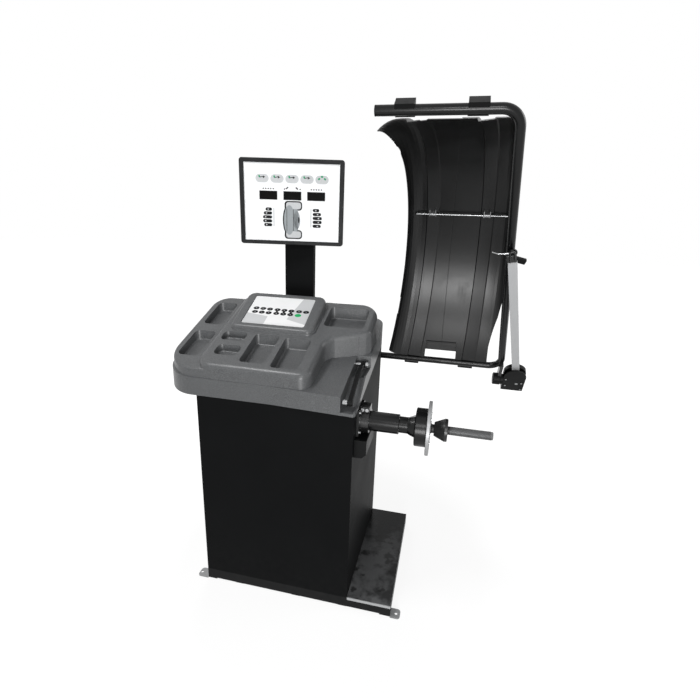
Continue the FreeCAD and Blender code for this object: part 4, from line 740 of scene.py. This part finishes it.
def thread_ridge():
    """The tooth wound along the shaft."""
    tooth = thread_tooth()
    wind = tooth.modifiers.new("wind", "SCREW")
    wind.axis = "Z"
    wind.screw_offset = PITCH * MM
    wind.iterations = int((THREAD_END - THREAD_START - PITCH) / PITCH)
    wind.steps = 36
    wind.render_steps = 36
    wind.use_normal_calculate = True
    bpy.ops.object.modifier_apply(modifier=wind.name)
    bpy.ops.object.mode_set(mode="EDIT")
    point_outwards()
    begin = Matrix.Translation(on_shaft(THREAD_START + PITCH * 0.5))
    return settle(tooth, begin @ Matrix.Rotation(math.radians(90), 4, "Y"))


def threaded_shaft():
    shaft = joined([grown_bar(SHAFT_STEPS), thread_ridge()])
    bpy.ops.object.shade_smooth_by_angle(angle=math.radians(35))
    shaft.name = "threaded_shaft"
    shaft.data.materials.clear()
    # The shaft colour is darker below X 0.611, on the plain part between flange and cone.
    shaft.data.materials.append(turned_steel("shaft steel", 0.17, 0.48, 700.0, 0.611))
    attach(shaft, "spindle")
    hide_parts("spindle_shaft")


# ---------------------------------------------------------------- surroundings
FLOOR_DROP = 0.0005
FLOOR_GREY = 0.20
FLOOR_GLOW = 0.85
SHADOW_REACH = 0.75
SHADOW_FADE = 0.9
ROOM_LIGHT = 0.16
WHITE = (1, 1, 1, 1)


def background_rays(f):
    """One for the rays that see the pale background: straight, mirrored or through glass."""
    camera = f.node("ShaderNodeLightPath", None, None, "Is Camera Ray")
    glossy = f.node("ShaderNodeLightPath", None, None, "Is Glossy Ray")
    through = f.node("ShaderNodeLightPath", None, None, "Is Transmission Ray")
    return f.math("MINIMUM", camera + glossy + through, 1.0)


def shadow_floor():
    """Pale matt floor: it keeps the shadow near the machine and runs out to white."""
    clear_choice()
    bpy.ops.mesh.primitive_plane_add(size=50.0, location=(0, 0, -FLOOR_DROP))
    ground = bpy.context.object
    ground.name = "floor"
    f = Finish("pale floor")
    matt = f.node("ShaderNodeBsdfDiffuse", None, {0: tone(FLOOR_GREY)})
    away = f.node("ShaderNodeVectorMath", {"operation": "DISTANCE"}, {0: f.place, 1: (0.1, 0.0, 0.0)}, 1)
    glow = away.above(SHADOW_REACH, SHADOW_FADE) * 0.18 + FLOOR_GLOW
    light = f.node("ShaderNodeEmission", None, {0: WHITE, 1: background_rays(f) * glow})
    f.end("ShaderNodeOutputMaterial", f.node("ShaderNodeAddShader", None, {0: matt, 1: light}))
    ground.data.materials.append(f.material)


def surroundings():
    """White backdrop all round; only a little of it lights the machine."""
    world = bpy.data.worlds.new("studio")
    bpy.context.scene.world = world
    world.use_nodes = True
    f = Wiring(world.node_tree)
    strength = background_rays(f) * (1.0 - ROOM_LIGHT) + ROOM_LIGHT
    f.end("ShaderNodeOutputWorld", f.node("ShaderNodeBackground", None, {0: WHITE, 1: strength}))


def lamp(name, place, aim, size, watts):
    light = bpy.data.lights.new(name, "AREA")
    light.shape = "RECTANGLE"
    light.size, light.size_y = size
    light.energy = watts
    thing = bpy.data.objects.new(name, light)
    bpy.context.scene.collection.objects.link(thing)
    thing.location = place
    thing.rotation_euler = (Vector(aim) - Vector(place)).to_track_quat("-Z", "Y").to_euler()


def lamps():
    lamp("front_softbox", (0.85, -4.0, 0.70), (0.1, 0.0, 0.95), (1.15, 1.2), 108.0)
    lamp("high_front_softbox", (0.8, -3.3, 2.8), (0.1, 0.0, 0.9), (0.9, 0.7), 30.0)
    lamp("top_softbox", (-1.0, -0.95, 3.1), (0.0, 0.0, 0.9), (0.7, 0.5), 32.0)
    lamp("rim_softbox", (2.6, 0.6, 2.6), (0.4, 0.1, 1.1), (1.0, 1.4), 16.0)
    lamp("rear_softbox", (-1.6, 4.2, 2.0), (0.0, 0.2, 0.9), (2.0, 1.6), 70.0)


EYE = Vector((0.5596, -1.8773, 1.6587))
LOOK_LEFT = math.radians(12.44)
LOOK_DOWN = math.radians(16.13)
TILT = math.radians(1.98)
FILM_GATE = 36.0
LENS = 22.652


def camera():
    """Standing eye level, looking a little down and to the left."""
    level = Vector((-math.sin(LOOK_LEFT), math.cos(LOOK_LEFT), 0.0))
    ahead = level * math.cos(LOOK_DOWN) - Vector((0.0, 0.0, math.sin(LOOK_DOWN)))
    right = Vector((math.cos(LOOK_LEFT), math.sin(LOOK_LEFT), 0.0))
    up = right.cross(ahead)
    side = math.cos(TILT) * right + math.sin(TILT) * up
    top = -math.sin(TILT) * right + math.cos(TILT) * up
    lens = bpy.data.cameras.new("eye")
    lens.sensor_width = FILM_GATE
    lens.lens = LENS
    thing = bpy.data.objects.new("eye", lens)
    bpy.context.scene.collection.objects.link(thing)
    turned = Matrix((side, top, -ahead)).transposed().to_4x4()
    thing.matrix_world = Matrix.Translation(EYE) @ turned
    bpy.context.scene.camera = thing


dress_nodes()
display_marks()
keypad_marks()
threaded_shaft()
shadow_floor()
surroundings()
lamps()
camera()
bpy.context.scene.view_settings.view_transform = "Standard"
